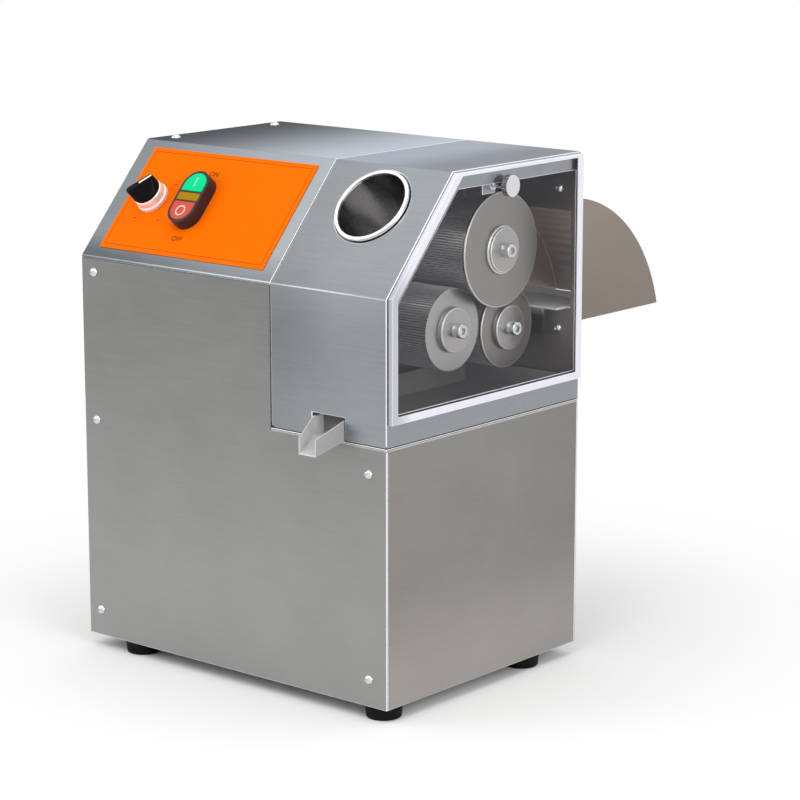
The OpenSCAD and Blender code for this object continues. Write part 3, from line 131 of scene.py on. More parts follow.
@dataclass(frozen=True)
class Fade:
    """A slow change from one value to another along one axis of the machine."""

    axis: Axis
    start_mm: float
    end_mm: float
    start: float
    end: float


@dataclass(frozen=True)
class Finish:
    """A surface: its name, colour and how it takes light."""

    name: str
    colour: str
    roughness: float
    metallic: float = 0.0
    specular: float = 0.5

    def make(self) -> bpy.types.Material:
        """Makes the material once, and then shares it.

        Returns:
            The material.
        """
        found = bpy.data.materials.get(self.name)
        if found:
            return found
        material = bpy.data.materials.new(self.name)
        material.use_nodes = True
        material.node_tree.nodes.clear()
        self.paint(material.node_tree)
        return material

    def paint(self, tree: Tree) -> None:
        """Adds the nodes that give this finish its detail."""
        self.surface(tree, {})

    def surface(self, tree: Tree, links: dict,
                settings: dict | None = None) -> None:
        """Adds the shader and joins it to the output.

        Args:
            tree: The material's tree.
            links: Sockets for the shader's inputs.
            settings: Further constant inputs of the shader.
        """
        constants = {"Metallic": self.metallic, "Specular IOR Level": self.specular,
                     **(settings or {})}
        if "Roughness" not in links:
            constants["Roughness"] = self.roughness
        if "Base Color" not in links:
            constants["Base Color"] = linear(self.colour)
        shader = add_node(tree, "ShaderNodeBsdfPrincipled", constants, links)
        add_node(tree, "ShaderNodeOutputMaterial", links={"Surface": shader.outputs[0]})

    def grain_noise(self, tree: Tree, sizes_mm: tuple[float, ...],
                    octaves: float = GRAIN_OCTAVES) -> tuple[Socket, Socket]:
        """Adds noise in the piece's own space.

        Args:
            tree: The material's tree.
            sizes_mm: Size of its spots along X, Y and Z.
            octaves: How many finer noises it adds up.

        Returns:
            The noise for relief, and the same stretched from zero to one for tone.
        """
        place = add_node(tree, "ShaderNodeTexCoord")
        sized = add_node(tree, "ShaderNodeMapping",
                         {"Scale": tuple(1 / (size * MM) for size in sizes_mm)},
                         {"Vector": place.outputs["Object"]})
        noise = add_node(tree, "ShaderNodeTexNoise",
                         {"Scale": 1.0, "Detail": octaves, "Roughness": OCTAVE_SHARE},
                         {"Vector": sized.outputs[0]})
        low, high = NOISE_SPAN
        tone = add_node(tree, "ShaderNodeMapRange", {"From Min": low, "From Max": high},
                        {"Value": noise.outputs[0]})
        return noise.outputs[0], tone.outputs[0]

    def uneven_gloss(self, tree: Tree, tone: Socket, spread: float = 0.05) -> Socket:
        """Adds a roughness that varies either side of the finish's own.

        Args:
            tree: The material's tree.
            tone: Socket from 0 to 1.
            spread: The most that it departs either way.

        Returns:
            The roughness socket.
        """
        low = max(LEAST_ROUGHNESS, self.roughness - spread)
        rough = add_node(tree, "ShaderNodeMath",
                         {"operation": "MULTIPLY_ADD", 1: self.roughness + spread - low, 2: low},
                         {0: tone})
        return rough.outputs[0]

    def shaded(self, tree: Tree, factor: Socket, low: float, high: float) -> Socket:
        """Mixes the colour between a darker and a lighter gain.

        Args:
            tree: The material's tree.
            factor: Socket from 0 to 1.
            low: Gain at 0.
            high: Gain at 1.

        Returns:
            The colour socket.
        """
        mix = add_node(tree, "ShaderNodeMix",
                       {"data_type": "RGBA", 6: linear(self.colour, low),
                        7: linear(self.colour, high)}, {0: factor})
        return mix.outputs[2]

    def faded(self, tree: Tree, fade: Fade) -> Socket:
        """Adds a value that changes along an axis of the machine.

        Args:
            tree: The material's tree.
            fade: Where the change starts and ends, and from what to what.

        Returns:
            The value's socket.
        """
        place = add_node(tree, "ShaderNodeTexCoord")
        parts = add_node(tree, "ShaderNodeSeparateXYZ", links={0: place.outputs["Object"]})
        value = add_node(tree, "ShaderNodeMapRange",
                         {"interpolation_type": "SMOOTHSTEP", "From Min": fade.start_mm * MM,
                          "From Max": fade.end_mm * MM, "To Min": fade.start, "To Max": fade.end},
                         {"Value": parts.outputs[fade.axis.value]})
        return value.outputs[0]

    def facing(self, tree: Tree, axis: Axis) -> Socket:
        """Tells faces that look along an axis from the others.

        Args:
            tree: The material's tree.
            axis: The axis.

        Returns:
            A socket that is one on such faces, and else zero.
        """
        normal = add_node(tree, "ShaderNodeNewGeometry")
        parts = add_node(tree, "ShaderNodeSeparateXYZ", links={0: normal.outputs["True Normal"]})
        low, high = FACING_SPAN
        towards = add_node(tree, "ShaderNodeMapRange", {"From Min": low, "From Max": high},
                           {"Value": parts.outputs[axis.value]})
        return towards.outputs[0]

    def radius(self, tree: Tree, axis_y: float, axis_z: float) -> Socket:
        """Returns a socket with the distance from an axis that runs along X.

        Args:
            tree: The material's tree.
            axis_y: Place of the axis along Y, in metres.
            axis_z: Place of the axis along Z, in metres.

        Returns:
            The distance in metres.
        """
        place = add_node(tree, "ShaderNodeTexCoord")
        centred = add_node(tree, "ShaderNodeMapping", {"Location": (0, -axis_y, -axis_z)},
                           {"Vector": place.outputs["Object"]})
        flat = add_node(tree, "ShaderNodeVectorMath",
                        {"operation": "MULTIPLY", 1: (0, 1, 1)}, {0: centred.outputs[0]})
        reach = add_node(tree, "ShaderNodeVectorMath", {"operation": "LENGTH"},
                         {0: flat.outputs[0]})
        return reach.outputs["Value"]


@dataclass(frozen=True)
class BrushedSteel(Finish):
    """Stainless sheet brushed one way: fine streaks, and soft cloudy smudges from handling."""

    metallic: float = 1.0
    # Direction that the sheet was brushed in
    grain: Axis = Axis.X
    # A real streak is about 0.1 mm wide; it is drawn coarser so that it shows
    streak_mm: float = 0.6
    streak_l_mm: float = 45.0
    streak_tone: float = 0.06
    streak_relief: float = 0.18
    depth_mm: float = 0.01
    cloud_mm: float = 70.0
    cloud_tone: float = 0.06
    # Share of the smudges in the unevenness of the gloss
    cloud_gloss: float = 0.2
    # Painted light and shade: slow changes of tone along axes of the machine
    painted_light_fades: tuple[Fade, ...] = ()
    # Darkest and lightest gain that the changes of tone can reach
    reach: tuple[float, float] = (0.3, 1.7)
    # Painted light and shade on faces that look along one axis, such as a roof
    facing_painted_light: Fade | None = None
    face_axis: Axis = Axis.Z
    # A painted reflection: how much of the light comes back at a glancing angle, at the two ends of
    # that change
    painted_glance: tuple[str, str] | None = None

    def paint(self, tree: Tree) -> None:
        """Adds streaks along the grain, clouds across it and the slow changes of painted light and
        shade.

        Args:
            tree: The material's tree.
        """
        sizes = [self.streak_mm] * 3
        sizes[self.grain.value] = self.streak_l_mm
        relief, streaks = self.grain_noise(tree, tuple(sizes))
        _, clouds = self.grain_noise(tree, (self.cloud_mm,) * 3, CLOUD_OCTAVES)
        uneven = add_node(tree, "ShaderNodeMix", {"data_type": "FLOAT", 0: self.cloud_gloss},
                          {2: streaks, 3: clouds})
        bump = add_node(tree, "ShaderNodeBump",
                        {"Strength": self.streak_relief, "Distance": self.depth_mm * MM},
                        {"Height": relief})
        links = {"Base Color": self.shaded(tree, self.tone(tree, streaks, clouds), *self.reach),
                 "Roughness": self.uneven_gloss(tree, uneven.outputs[0]),
                 "Normal": bump.outputs[0]}
        # A painted reflection: the tint at a glancing angle changes along the same axis
        if self.facing_painted_light and self.painted_glance:
            dark, light = (linear(colour) for colour in self.painted_glance)
            part = self.faded(tree, replace(self.facing_painted_light, start=0.0, end=1.0))
            painted_glance = add_node(tree, "ShaderNodeMix", {"data_type": "RGBA", 6: dark, 7: light},
                              {0: part})
            links["Specular Tint"] = painted_glance.outputs[2]
        self.surface(tree, links)

    def tone(self, tree: Tree, streaks: Socket, clouds: Socket) -> Socket:
        """Adds up everything that makes the sheet lighter or darker: streaks, smudges, and painted
        light and shade.

        Args:
            tree: The material's tree.
            streaks: Socket of the streaks, from 0 to 1.
            clouds: Socket of the smudges, from 0 to 1.

        Returns:
            The tone's socket, which is a half where the sheet has its own colour.
        """
        base = 0.5 - (self.streak_tone + self.cloud_tone) / 2
        brushed = add_node(tree, "ShaderNodeMath",
                           {"operation": "MULTIPLY_ADD", 1: self.streak_tone, 2: base},
                           {0: streaks})
        total = add_node(tree, "ShaderNodeMath",
                         {"operation": "MULTIPLY_ADD", 1: self.cloud_tone},
                         {0: clouds, 2: brushed.outputs[0]})
        changes = [self.faded(tree, fade) for fade in self.painted_light_fades]
        if self.facing_painted_light:
            kept = add_node(tree, "ShaderNodeMath", {"operation": "MULTIPLY"},
                            {0: self.facing(tree, self.face_axis),
                             1: self.faded(tree, self.facing_painted_light)})
            changes.append(kept.outputs[0])
        for change in changes:
            total = add_node(tree, "ShaderNodeMath", {"operation": "ADD"},
                             {0: total.outputs[0], 1: change})
        return total.outputs[0]


@dataclass(frozen=True)
class TurnedSteel(Finish):
    """Steel faced on a lathe: faint rings round the axis over a fine bead-blasted grain."""

    metallic: float = 1.0
    axis_y: float = 0.0
    axis_z: float = 0.0
    # Real feed marks are about 0.2 mm apart; they are drawn coarser so that they show
    ring_mm: float = 0.9
    ring_share: float = 0.15
    grit_mm: float = 0.6
    depth_mm: float = 0.015
    relief: float = 0.3
    # Gain of the darkest and of the lightest grit
    gains: tuple[float, float] = (0.93, 1.06)

    def paint(self, tree: Tree) -> None:
        """Adds rings round the axis and a grain over them.

        Args:
            tree: The material's tree.
        """
        turns = add_node(tree, "ShaderNodeMath",
                         {"operation": "MULTIPLY", 1: 2 * math.pi / (self.ring_mm * MM)},
                         {0: self.radius(tree, self.axis_y, self.axis_z)})
        rings = add_node(tree, "ShaderNodeMath", {"operation": "SINE"}, {0: turns.outputs[0]})
        grit, tone = self.grain_noise(tree, (self.grit_mm,) * 3)
        height = add_node(tree, "ShaderNodeMath", {"operation": "MULTIPLY_ADD", 1: self.ring_share},
                          {0: rings.outputs[0], 2: grit})
        bump = add_node(tree, "ShaderNodeBump",
                        {"Strength": self.relief, "Distance": self.depth_mm * MM},
                        {"Height": height.outputs[0]})
        self.surface(tree, {"Base Color": self.shaded(tree, tone, *self.gains),
                            "Roughness": self.uneven_gloss(tree, tone),
                            "Normal": bump.outputs[0]})


@dataclass(frozen=True)
class Grained(Finish):
    """A moulded, cast or blasted surface: an even grain that breaks up its gloss."""

    # Size of the grain, how deep it is, and how strongly that shows
    grain_mm: float = 0.8
    depth_mm: float = 0.02
    relief: float = 0.4
    contrast: float = 0.06
    # Painted shade: share of the colour that is left along an axis, where it isn't the same all over
    painted_shade_fade: Fade | None = None

    def paint(self, tree: Tree) -> None:
        """Adds an even grain to colour, gloss and relief.

        Args:
            tree: The material's tree.
        """
        grain, tone = self.grain_noise(tree, (self.grain_mm,) * 3)
        bump = add_node(tree, "ShaderNodeBump",
                        {"Strength": self.relief, "Distance": self.depth_mm * MM}, {"Height": grain})
        self.surface(tree, {"Base Color": self.tint(tree, tone),
                            "Roughness": self.uneven_gloss(tree, tone),
                            "Normal": bump.outputs[0]})

    def tint(self, tree: Tree, tone: Socket) -> Socket:
        """Gives the colour its painted shade along an axis, or else an even grain.

        Args:
            tree: The material's tree.
            tone: Socket of the grain, from 0 to 1.

        Returns:
            The colour socket.
        """
        if self.painted_shade_fade:
            return self.shaded(tree, self.faded(tree, self.painted_shade_fade), 0.0, 1.0)
        return self.shaded(tree, tone, 1 - self.contrast, 1 + self.contrast)


@dataclass(frozen=True)
class BeadedTube(Grained):
    """A polished tube with a rolled rim: dull inside, with a painted highlight on the bead."""

    metallic: float = 1.0
    rim_highlight_colour: str = "#ffffff"
    # Direction out of the mouth, how far along it the bead starts, and over what length
    outward: tuple[float, float, float] = (0.0, 0.0, 1.0)
    rim_from_mm: float = 0.0
    rim_blur_mm: float = 0.4

    def tint(self, tree: Tree, tone: Socket) -> Socket:
        """Paints a highlight on the bead, apart from the bore.

        Args:
            tree: The material's tree.
            tone: Socket of the grain; not used, as a polished tube doesn't show it in its colour.

        Returns:
            The colour socket.
        """
        place = add_node(tree, "ShaderNodeTexCoord")
        along = add_node(tree, "ShaderNodeVectorMath",
                         {"operation": "DOT_PRODUCT", 1: self.outward},
                         {0: place.outputs["Object"]})
        start, end = self.rim_from_mm * MM, (self.rim_from_mm + self.rim_blur_mm) * MM
        bead = add_node(tree, "ShaderNodeMapRange", {"From Min": start, "From Max": end},
                        {"Value": along.outputs["Value"]})
        colour = add_node(tree, "ShaderNodeMix",
                          {"data_type": "RGBA", 6: linear(self.colour),
                           7: linear(self.rim_highlight_colour)}, {0: bead.outputs[0]})
        return colour.outputs[2]


@dataclass(frozen=True)
class MilledRoller(Grained):
    """A fluted roller: bright flutes with painted shade in their roots, and a duller turned end."""

    metallic: float = 1.0
    end_gain: float = 0.5
    # Share of the colour left in the roots of the flutes: painted shade
    root_shade_gain: float = 0.3
    # Place of the axis in metres, the radius over the flutes and their depth
    axis_y: float = 0.0
    axis_z: float = 0.0
    crest_mm: float = 30.0
    flute_mm: float = 1.0

    def tint(self, tree: Tree, tone: Socket) -> Socket:
        """Tells the end from the flutes, and paints shade into the roots of the flutes.

        Args:
            tree: The material's tree.
            tone: Socket of the grain; not used, as it is lost beside the flutes.

        Returns:
            The colour socket.
        """
        crest, root = self.crest_mm * MM, (self.crest_mm - self.flute_mm) * MM
        high = add_node(tree, "ShaderNodeMapRange",
                        {"From Min": root, "From Max": crest,
                         "To Min": self.root_shade_gain, "To Max": 1.0},
                        {"Value": self.radius(tree, self.axis_y, self.axis_z)})
        gain = add_node(tree, "ShaderNodeMix", {"data_type": "FLOAT", 3: self.end_gain},
                        {0: self.facing(tree, Axis.X), 2: high.outputs[0]})
        return self.shaded(tree, gain.outputs[0], 0.0, 1.0)


@dataclass(frozen=True)
class Acrylic(Finish):
    """Clear cast acrylic: nearly no colour, with a thin grey film of fine scratches."""

    alpha: float = 0.06
    ior: float = 1.49
    scratch_mm: float = 4.0
    scratch_gloss: float = 0.03

    def paint(self, tree: Tree) -> None:
        """Adds faint wiping marks to the gloss."""
        _, wipes = self.grain_noise(tree, (self.scratch_mm,) * 3, CLOUD_OCTAVES)
        self.surface(tree, {"Roughness": self.uneven_gloss(tree, wipes, self.scratch_gloss)},
                     {"Alpha": self.alpha, "IOR": self.ior})


@dataclass(frozen=True)
class Palette:
    """The finishes of the whole machine, each named for what it is."""

    # Brushed stainless sheet, mid grey with a soft sheen, with a painted reflection that is paler
    # towards the floor, and on the side darker towards the back
    front: Finish = BrushedSteel("brushed_stainless_front", "#929291", 0.34, grain=Axis.X,
                                 painted_light_fades=(Fade(Axis.Z, 60, 370, 0.1, -0.16),))
    side: Finish = BrushedSteel("brushed_stainless_side", "#94918d", 0.34, grain=Axis.Y,
                                painted_light_fades=(Fade(Axis.Z, 12, 130, 0.22, -0.05),
                                       Fade(Axis.Y, -60, 80, 0.0, -0.07)))
    # The same sheet, even in tone
    back: Finish = BrushedSteel("brushed_stainless_back", "#959593", 0.34, grain=Axis.X)
    deck: Finish = BrushedSteel("brushed_stainless_deck", "#959492", 0.34, grain=Axis.Y)
    # The folded top: cool grey, with a painted reflection that is darker towards the left and along
    # the slope's foot
    top: Finish = BrushedSteel("brushed_stainless_top", "#a2a8ac", 0.28, grain=Axis.X,
                               painted_light_fades=(Fade(Axis.X, -185, 40, -0.14, 0.16),
                                      Fade(Axis.Z, 364, 390, -0.3, 0.0)),
                               facing_painted_light=Fade(Axis.X, -190, 60, -0.1, 0.0),
                               painted_glance=("#66696d", "#f0f4ff"))
    # The cover's sheet, with a painted reflection: darkest in a band under its slope, paler at its
    # foot and to the right
    cover: Finish = BrushedSteel("brushed_stainless_cover", "#9a9ea2", 0.3, grain=Axis.X,
                                 painted_light_fades=(Fade(Axis.Z, 330, 400, -0.16, 0.04),
                                        Fade(Axis.Z, 240, 310, 0.09, 0.0),
                                        Fade(Axis.X, 45, 130, -0.07, 0.06)),
                                 facing_painted_light=Fade(Axis.X, 70, 150, 0.05, 0.0),
                                 painted_glance=("#e2e9f6", "#b8bcc1"))
    # A painted highlight, near white, along the sheet's edges and folds
    edge: Finish = Grained("highlight_sheet_edge", "#f0f0f1", 0.3, 0.55, contrast=0.02)
    # Mill-finish sheet of the base and the chamber: duller in gloss, and warmer at the rear
    inner: Finish = BrushedSteel("mill_stainless", "#98969a", 0.4, grain=Axis.Z)
    rear: Finish = BrushedSteel("mill_stainless_rear", "#b3aea7", 0.42, grain=Axis.Z)
    # The hood has painted shade that makes it darker towards its foot
    hood: Finish = BrushedSteel("mill_stainless_hood", "#91887f", 0.42, grain=Axis.Y,
                                painted_light_fades=(Fade(Axis.Z, 300, 430, -0.08, 0.06),))
    # Pale pressed sheet at the spout, with painted shade that makes it darker in the chamber and
    # greyer on its right outside
    tray: Finish = BrushedSteel("pressed_tray_steel", "#fafaf8", 0.45, 0.2, grain=Axis.Y,
                                painted_light_fades=(Fade(Axis.Y, -150, -125, 0.0, -0.42),),
                                facing_painted_light=Fade(Axis.X, 110, 118, 0.0, -0.46),
                                face_axis=Axis.X)
    # Pale plate, with painted light on its top and painted shade on the lip under it
    guide: Finish = BrushedSteel("mill_stainless_guide", "#f6f4f4", 0.5, 0.25, grain=Axis.Y,
                                 painted_light_fades=(Fade(Axis.Z, 309, 320, -0.49, 0.3),),
                                 reach=(0.03, 1.97))
    # Polished screws and bolts, bright and nearly like a mirror
    hardware: Finish = Grained("polished_fastener_steel", "#d8d9da", 0.16, 1.0,
                               grain_mm=0.5, depth_mm=0.004)
    # Polished tube, grey in its bore, with a painted highlight on its bead
    tube: Finish = BeadedTube("polished_tube_steel", "#7a7878", 0.26, grain_mm=0.6,
                              depth_mm=0.001)
    # Milled steel, bright on its flutes, with painted shade between them
    drum: Finish = MilledRoller("milled_roller_steel", "#f4f2f2", 0.4, grain_mm=0.7,
                                depth_mm=0.008)
    # Machined steel and rough castings of the drive, grey and dull
    gear: Finish = Grained("machined_gear_steel", "#77787b", 0.35, 1.0, grain_mm=0.6)
    cast: Finish = Grained("cast_aluminium", "#72777b", 0.55, 0.9, grain_mm=1.6,
                           depth_mm=0.08)
    # Vulcanised rubber, nearly black and quite matt
    rubber: Finish = Grained("vulcanised_rubber", "#080808", 0.7, specular=0.15,
                             grain_mm=0.9, depth_mm=0.04)
    # Moulded switch parts, with the small sheen of fine-grained plastic
    black: Finish = Grained("black_moulded_nylon", "#060304", 0.4, specular=0.1, grain_mm=0.5)
    housing: Finish = Grained("dark_moulded_nylon", "#2a2024", 0.4, specular=0.35,
                              grain_mm=0.5)
    green: Finish = Grained("green_moulded_cap", "#06d18a", 0.35, specular=0.05,
                            depth_mm=0.004)
    red: Finish = Grained("red_moulded_cap", "#c95447", 0.35, specular=0.05, depth_mm=0.004)
    amber: Finish = Grained("amber_polycarbonate_lens", "#a37b06", 0.3, specular=0.05,
                            grain_mm=1.5)
    # Screen-printed polyester film, strong in colour and nearly without gloss
    orange: Finish = Grained("orange_polyester_film", "#f86d00", 0.5, specular=0.02,
                             grain_mm=0.7, depth_mm=0.004, contrast=0.02)
    # Satin chrome, pale and faintly warm
    bezel: Finish = Grained("satin_chrome_plate", "#fbf0ee", 0.34, 0.6, depth_mm=0.003)
    # Extruded vinyl, pale and half matt, with painted shade that makes it darker towards the front
    trim: Finish = Grained("pale_extruded_vinyl", "#dad9e3", 0.42, specular=0.2,
                           depth_mm=0.006, painted_shade_fade=Fade(Axis.Y, -178, -150, 0.66, 1.0))
    trim_edge: Finish = Grained("white_vinyl_edge", "#eaeaf1", 0.4, specular=0.2,
                                depth_mm=0.004, painted_shade_fade=Fade(Axis.Y, -178, -150, 0.8, 1.0))
    # Clear sheet that shows by its gloss and a thin grey film
    acrylic: Finish = Acrylic("cast_acrylic_sheet", "#74727c", 0.08)
    # Inks of the prints, each a thin matt layer
    ink: Finish = Grained("dark_print_ink", "#5a1c06", 0.55, specular=0.1, contrast=0.08)
    line: Finish = Grained("burnt_orange_ink", "#b9480a", 0.55, specular=0.1, contrast=0.05)
    white: Finish = Grained("white_print_ink", "#f1f1ee", 0.5, specular=0.2, contrast=0.03)
    green_mark: Finish = Grained("pale_green_ink", "#93f4cf", 0.5, specular=0.2,
                                 contrast=0.03)
    red_mark: Finish = Grained("pale_pink_ink", "#fbcabd", 0.5, specular=0.2, contrast=0.03)


def finish_node(name: str, look: Finish, bevel_mm: float = 0.0,
                edge: Finish | None = None) -> None:
    """Gives a solid of the frame its finish and softens its edges.

    Args:
        name: Node of the frame.
        look: Finish for all of it.
        bevel_mm: Width of the softened edge, or zero for none.
        edge: Finish for the softened edge alone, where it differs.
    """
    piece = frame["nodes"][name]
    piece.data.materials.clear()
    piece.data.materials.append(look.make())
    if bevel_mm:
        if edge:
            piece.data.materials.append(edge.make())
        piece.modifiers.new("join", "WELD").merge_threshold = JOIN_MM * MM
        level = piece.modifiers.new("level", "DECIMATE")
        level.decimate_type = "DISSOLVE"
        level.angle_limit = math.radians(LEVEL_DEG)
        bevel = piece.modifiers.new("edge", "BEVEL")
        bevel.width = bevel_mm * MM
        bevel.segments = EDGE_STEPS
        bevel.limit_method = "ANGLE"
        bevel.angle_limit = math.radians(SHARP_DEG)
        bevel.harden_normals = True
        # Else the small edges of a hole would thin every other edge, or cross each other
        bevel.use_clamp_overlap = False
        bevel.loop_slide = False
        bevel.material = 1 if edge else -1
    LOG.info("finished %s with %s", name, look.name)


def joint_named(name: str) -> dict:
    """Returns the joint of that name from the frame."""
    return next(j for j in frame["joints"] if j["name"] == name)


def add_piece(name: str, mesh: bpy.types.Mesh, look: Finish, body: str) -> None:
    """Adds a new piece that rides on a body.

    Args:
        name: Name of the piece.
        mesh: Its mesh, in the frame's own place.
        look: Its finish.
        body: Body that carries it.
    """
    piece = bpy.data.objects.new(name, mesh)
    bpy.context.scene.collection.objects.link(piece)
    mesh.materials.clear()
    mesh.materials.append(look.make())
    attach(piece, body)
    LOG.info("added %s on %s", name, body)


@dataclass
class SlopePlane:
    """The slanted control face: a point on it, and its directions outward and right."""

    origin: Vector = field(default_factory=lambda: Vector(joint_named("selector_turn")["pos_m"]))
    outward: Vector = field(default_factory=lambda: Vector(joint_named("selector_turn")["axis"]))
    right: Vector = field(default_factory=lambda: Vector((1, 0, 0)))

    @property
    def axes(self) -> tuple[Vector, Vector, Vector]:
        """Directions to the right, up the slope and outward."""
        return self.right, self.outward.cross(self.right), self.outward

    def placed(self, across_mm: float, up_mm: float, height_mm: float,
               turn_deg: float = 0.0) -> Matrix:
        """Returns the place of something on the slope.

        Args:
            across_mm: Distance to the right of the selector's axis.
            up_mm: Distance up the slope from the selector's axis.
            height_mm: Distance outward from the joint's point on that axis.
            turn_deg: Turn about the outward direction.

        Returns:
            A matrix whose X is to the right, Y up the slope and Z outward.
        """
        right, up, outward = self.axes
        turned = Matrix((right, up, outward)).transposed().to_4x4()
        shift = right * across_mm + up * up_mm + outward * height_mm
        spin = Matrix.Rotation(math.radians(turn_deg), 4, "Z")
        return Matrix.Translation(self.origin + shift * MM) @ turned @ spin

    def outer_face(self, node: str) -> tuple[Vector, Vector]:
        """Measures the outermost face of a node, from the selector's axis.

        Args:
            node: Node that stands on the slope.

        Returns:
            The face's lowest and highest corners along the slope's axes, in millimetres.
        """
        points = [p.co - self.origin for p in frame["nodes"][node].data.vertices]
        spots = [Vector([p.dot(axis) / MM for axis in self.axes]) for p in points]
        top = max(spot.z for spot in spots)
        face = [spot for spot in spots if spot.z > top - FACE_MM]
        low, high = (Vector([pick(side) for side in zip(*face)]) for pick in (min, max))
        return low, high


def curve_mesh(name: str, curve: bpy.types.Curve, thick_mm: float,
               place: Matrix) -> bpy.types.Mesh:
    """Turns a flat curve or a text to a mesh that stands on its surface.

    Args:
        name: Name of the mesh.
        curve: The curve or text, centred on its own plane.
        thick_mm: Thickness to extrude it to.
        place: Matrix that lays it on its surface.

    Returns:
        The closed mesh, with doubled points merged.
    """
    curve.extrude = thick_mm * MM / 2
    holder = bpy.data.objects.new(name, curve)
    bpy.context.scene.collection.objects.link(holder)
    bpy.context.view_layer.update()
    solved = holder.evaluated_get(bpy.context.evaluated_depsgraph_get())
    mesh = bpy.data.meshes.new_from_object(solved)
    bpy.data.objects.remove(holder)
    bpy.data.curves.remove(curve)
    work = bmesh.new()
    work.from_mesh(mesh)
    bmesh.ops.remove_doubles(work, verts=work.verts, dist=PRINT_JOIN_MM * MM)
    work.to_mesh(mesh)
    work.free()
    mesh.name = name
    mesh.transform(place @ Matrix.Translation((0, 0, thick_mm * MM / 2)))
    return mesh


def outline_mesh(name: str, loops: list[list[tuple[float, float]]], thick_mm: float,
                 place: Matrix) -> bpy.types.Mesh:
    """Makes a thin print from flat outlines.

    Args:
        name: Name of the mesh.
        loops: Closed outlines in millimetres; a second one inside the first is a hole.
        thick_mm: Thickness of the print.
        place: Matrix that lays it on its surface.

    Returns:
        The mesh.
    """
    curve = bpy.data.curves.new(name, "CURVE")
    curve.dimensions = "2D"
    curve.fill_mode = "BOTH"
    for loop in loops:
        spline = curve.splines.new("POLY")
        spline.points.add(len(loop) - 1)
        for point, (x, y) in zip(spline.points, loop):
            point.co = (x * MM, y * MM, 0, 1)
        spline.use_cyclic_u = True
    return curve_mesh(name, curve, thick_mm, place)


def text_mesh(name: str, words: str, high_mm: float, thick_mm: float,
              place: Matrix) -> bpy.types.Mesh:
    """Makes thin printed words, centred on their place.

    Args:
        name: Name of the mesh.
        words: Generic words or numbers.
        high_mm: Height of the font.
        thick_mm: Thickness of the print.
        place: Matrix that lays them on their surface.

    Returns:
        The mesh.
    """
    curve = bpy.data.curves.new(name, "FONT")
    curve.body = words
    curve.size = high_mm * MM
    curve.align_x = "CENTER"
    curve.align_y = "CENTER"
    curve.resolution_u = LETTER_STEPS
    return curve_mesh(name, curve, thick_mm, place)


def box_loop(width: float, length: float, y: float = 0.0) -> list[tuple[float, float]]:
    """Returns the outline of a rectangle, centred but for a shift along Y."""
    w, h = width / 2, length / 2
    return [(-w, y - h), (w, y - h), (w, y + h), (-w, y + h)]


def round_loop(radius: float, steps: int = 48) -> list[tuple[float, float]]:
    """Returns the outline of a centred circle."""
    turns = [2 * math.pi * i / steps for i in range(steps)]
    return [(radius * math.cos(t), radius * math.sin(t)) for t in turns]


@dataclass
class Cabinet:
    """The folded sheet cabinet with its feet, screws and gland."""

    look: Palette
    sheet_edge_mm: float = 0.5
    fold_edge_mm: float = 0.4
    screw_edge_mm: float = 0.15
    gland_edge_mm: float = 0.4
    # Heights under the cover's foot between which the edges' painted highlight gives way to painted
    # shade, and what is left
    painted_shade_mm: tuple[float, float] = (4.0, 2.0)
    side_painted_shade: float = 0.4
    front_painted_shade: float = 0.1

    def dress(self) -> None:
        """Finishes the cabinet's panels, feet and small fittings."""
        look, highlighted_edge = self.look, (self.sheet_edge_mm, self.look.edge)
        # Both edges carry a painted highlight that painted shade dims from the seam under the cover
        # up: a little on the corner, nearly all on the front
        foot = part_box("roller_cover")[0][2] / MM
        start, end = (foot - below for below in self.painted_shade_mm)
        corner = replace(look.edge, name="highlight_corner_edge",
                         painted_shade_fade=Fade(Axis.Z, start, end, 1.0, self.side_painted_shade))
        seam = replace(look.edge, name="shadowed_seam_edge",
                       painted_shade_fade=Fade(Axis.Z, start, end, 1.0, self.front_painted_shade))
        finish_node("front_panel", look.front, self.sheet_edge_mm, seam)
        finish_node("rear_panel", look.back, *highlighted_edge)
        finish_node("left_panel", look.side, *highlighted_edge)
        finish_node("right_panel", look.side, self.sheet_edge_mm, corner)
        finish_node("control_top", look.top, self.fold_edge_mm, look.edge)
        finish_node("deck_plate", look.deck, *highlighted_edge)
        finish_node("base_pan", look.inner, *highlighted_edge)
        finish_node("rubber_feet", look.rubber)
        finish_node("panel_screws", look.hardware, self.screw_edge_mm)
        finish_node("cable_gland", look.black, self.gland_edge_mm)


@dataclass
class Drive:
    """The closed drive: bearing plates, gears, gearbox and motor."""

    look: Palette

    def dress(self) -> None:
        """Finishes what is behind the panels."""
        for name in ("left_bearing_plate", "right_bearing_plate", "top_gear", "bull_gear",
                     "front_gear", "rear_gear", "pinion_shaft"):
            finish_node(name, self.look.gear)
        for name in ("gearbox_case", "gearbox_cover", "motor_body", "motor_end_bell"):
            finish_node(name, self.look.cast)
        for name in ("bearings", "tie_rods", "top_shaft", "front_shaft", "rear_shaft"):
            finish_node(name, self.look.hardware)
        finish_node("shaft_seals", self.look.rubber)
        finish_node("switch_contacts", self.look.housing)


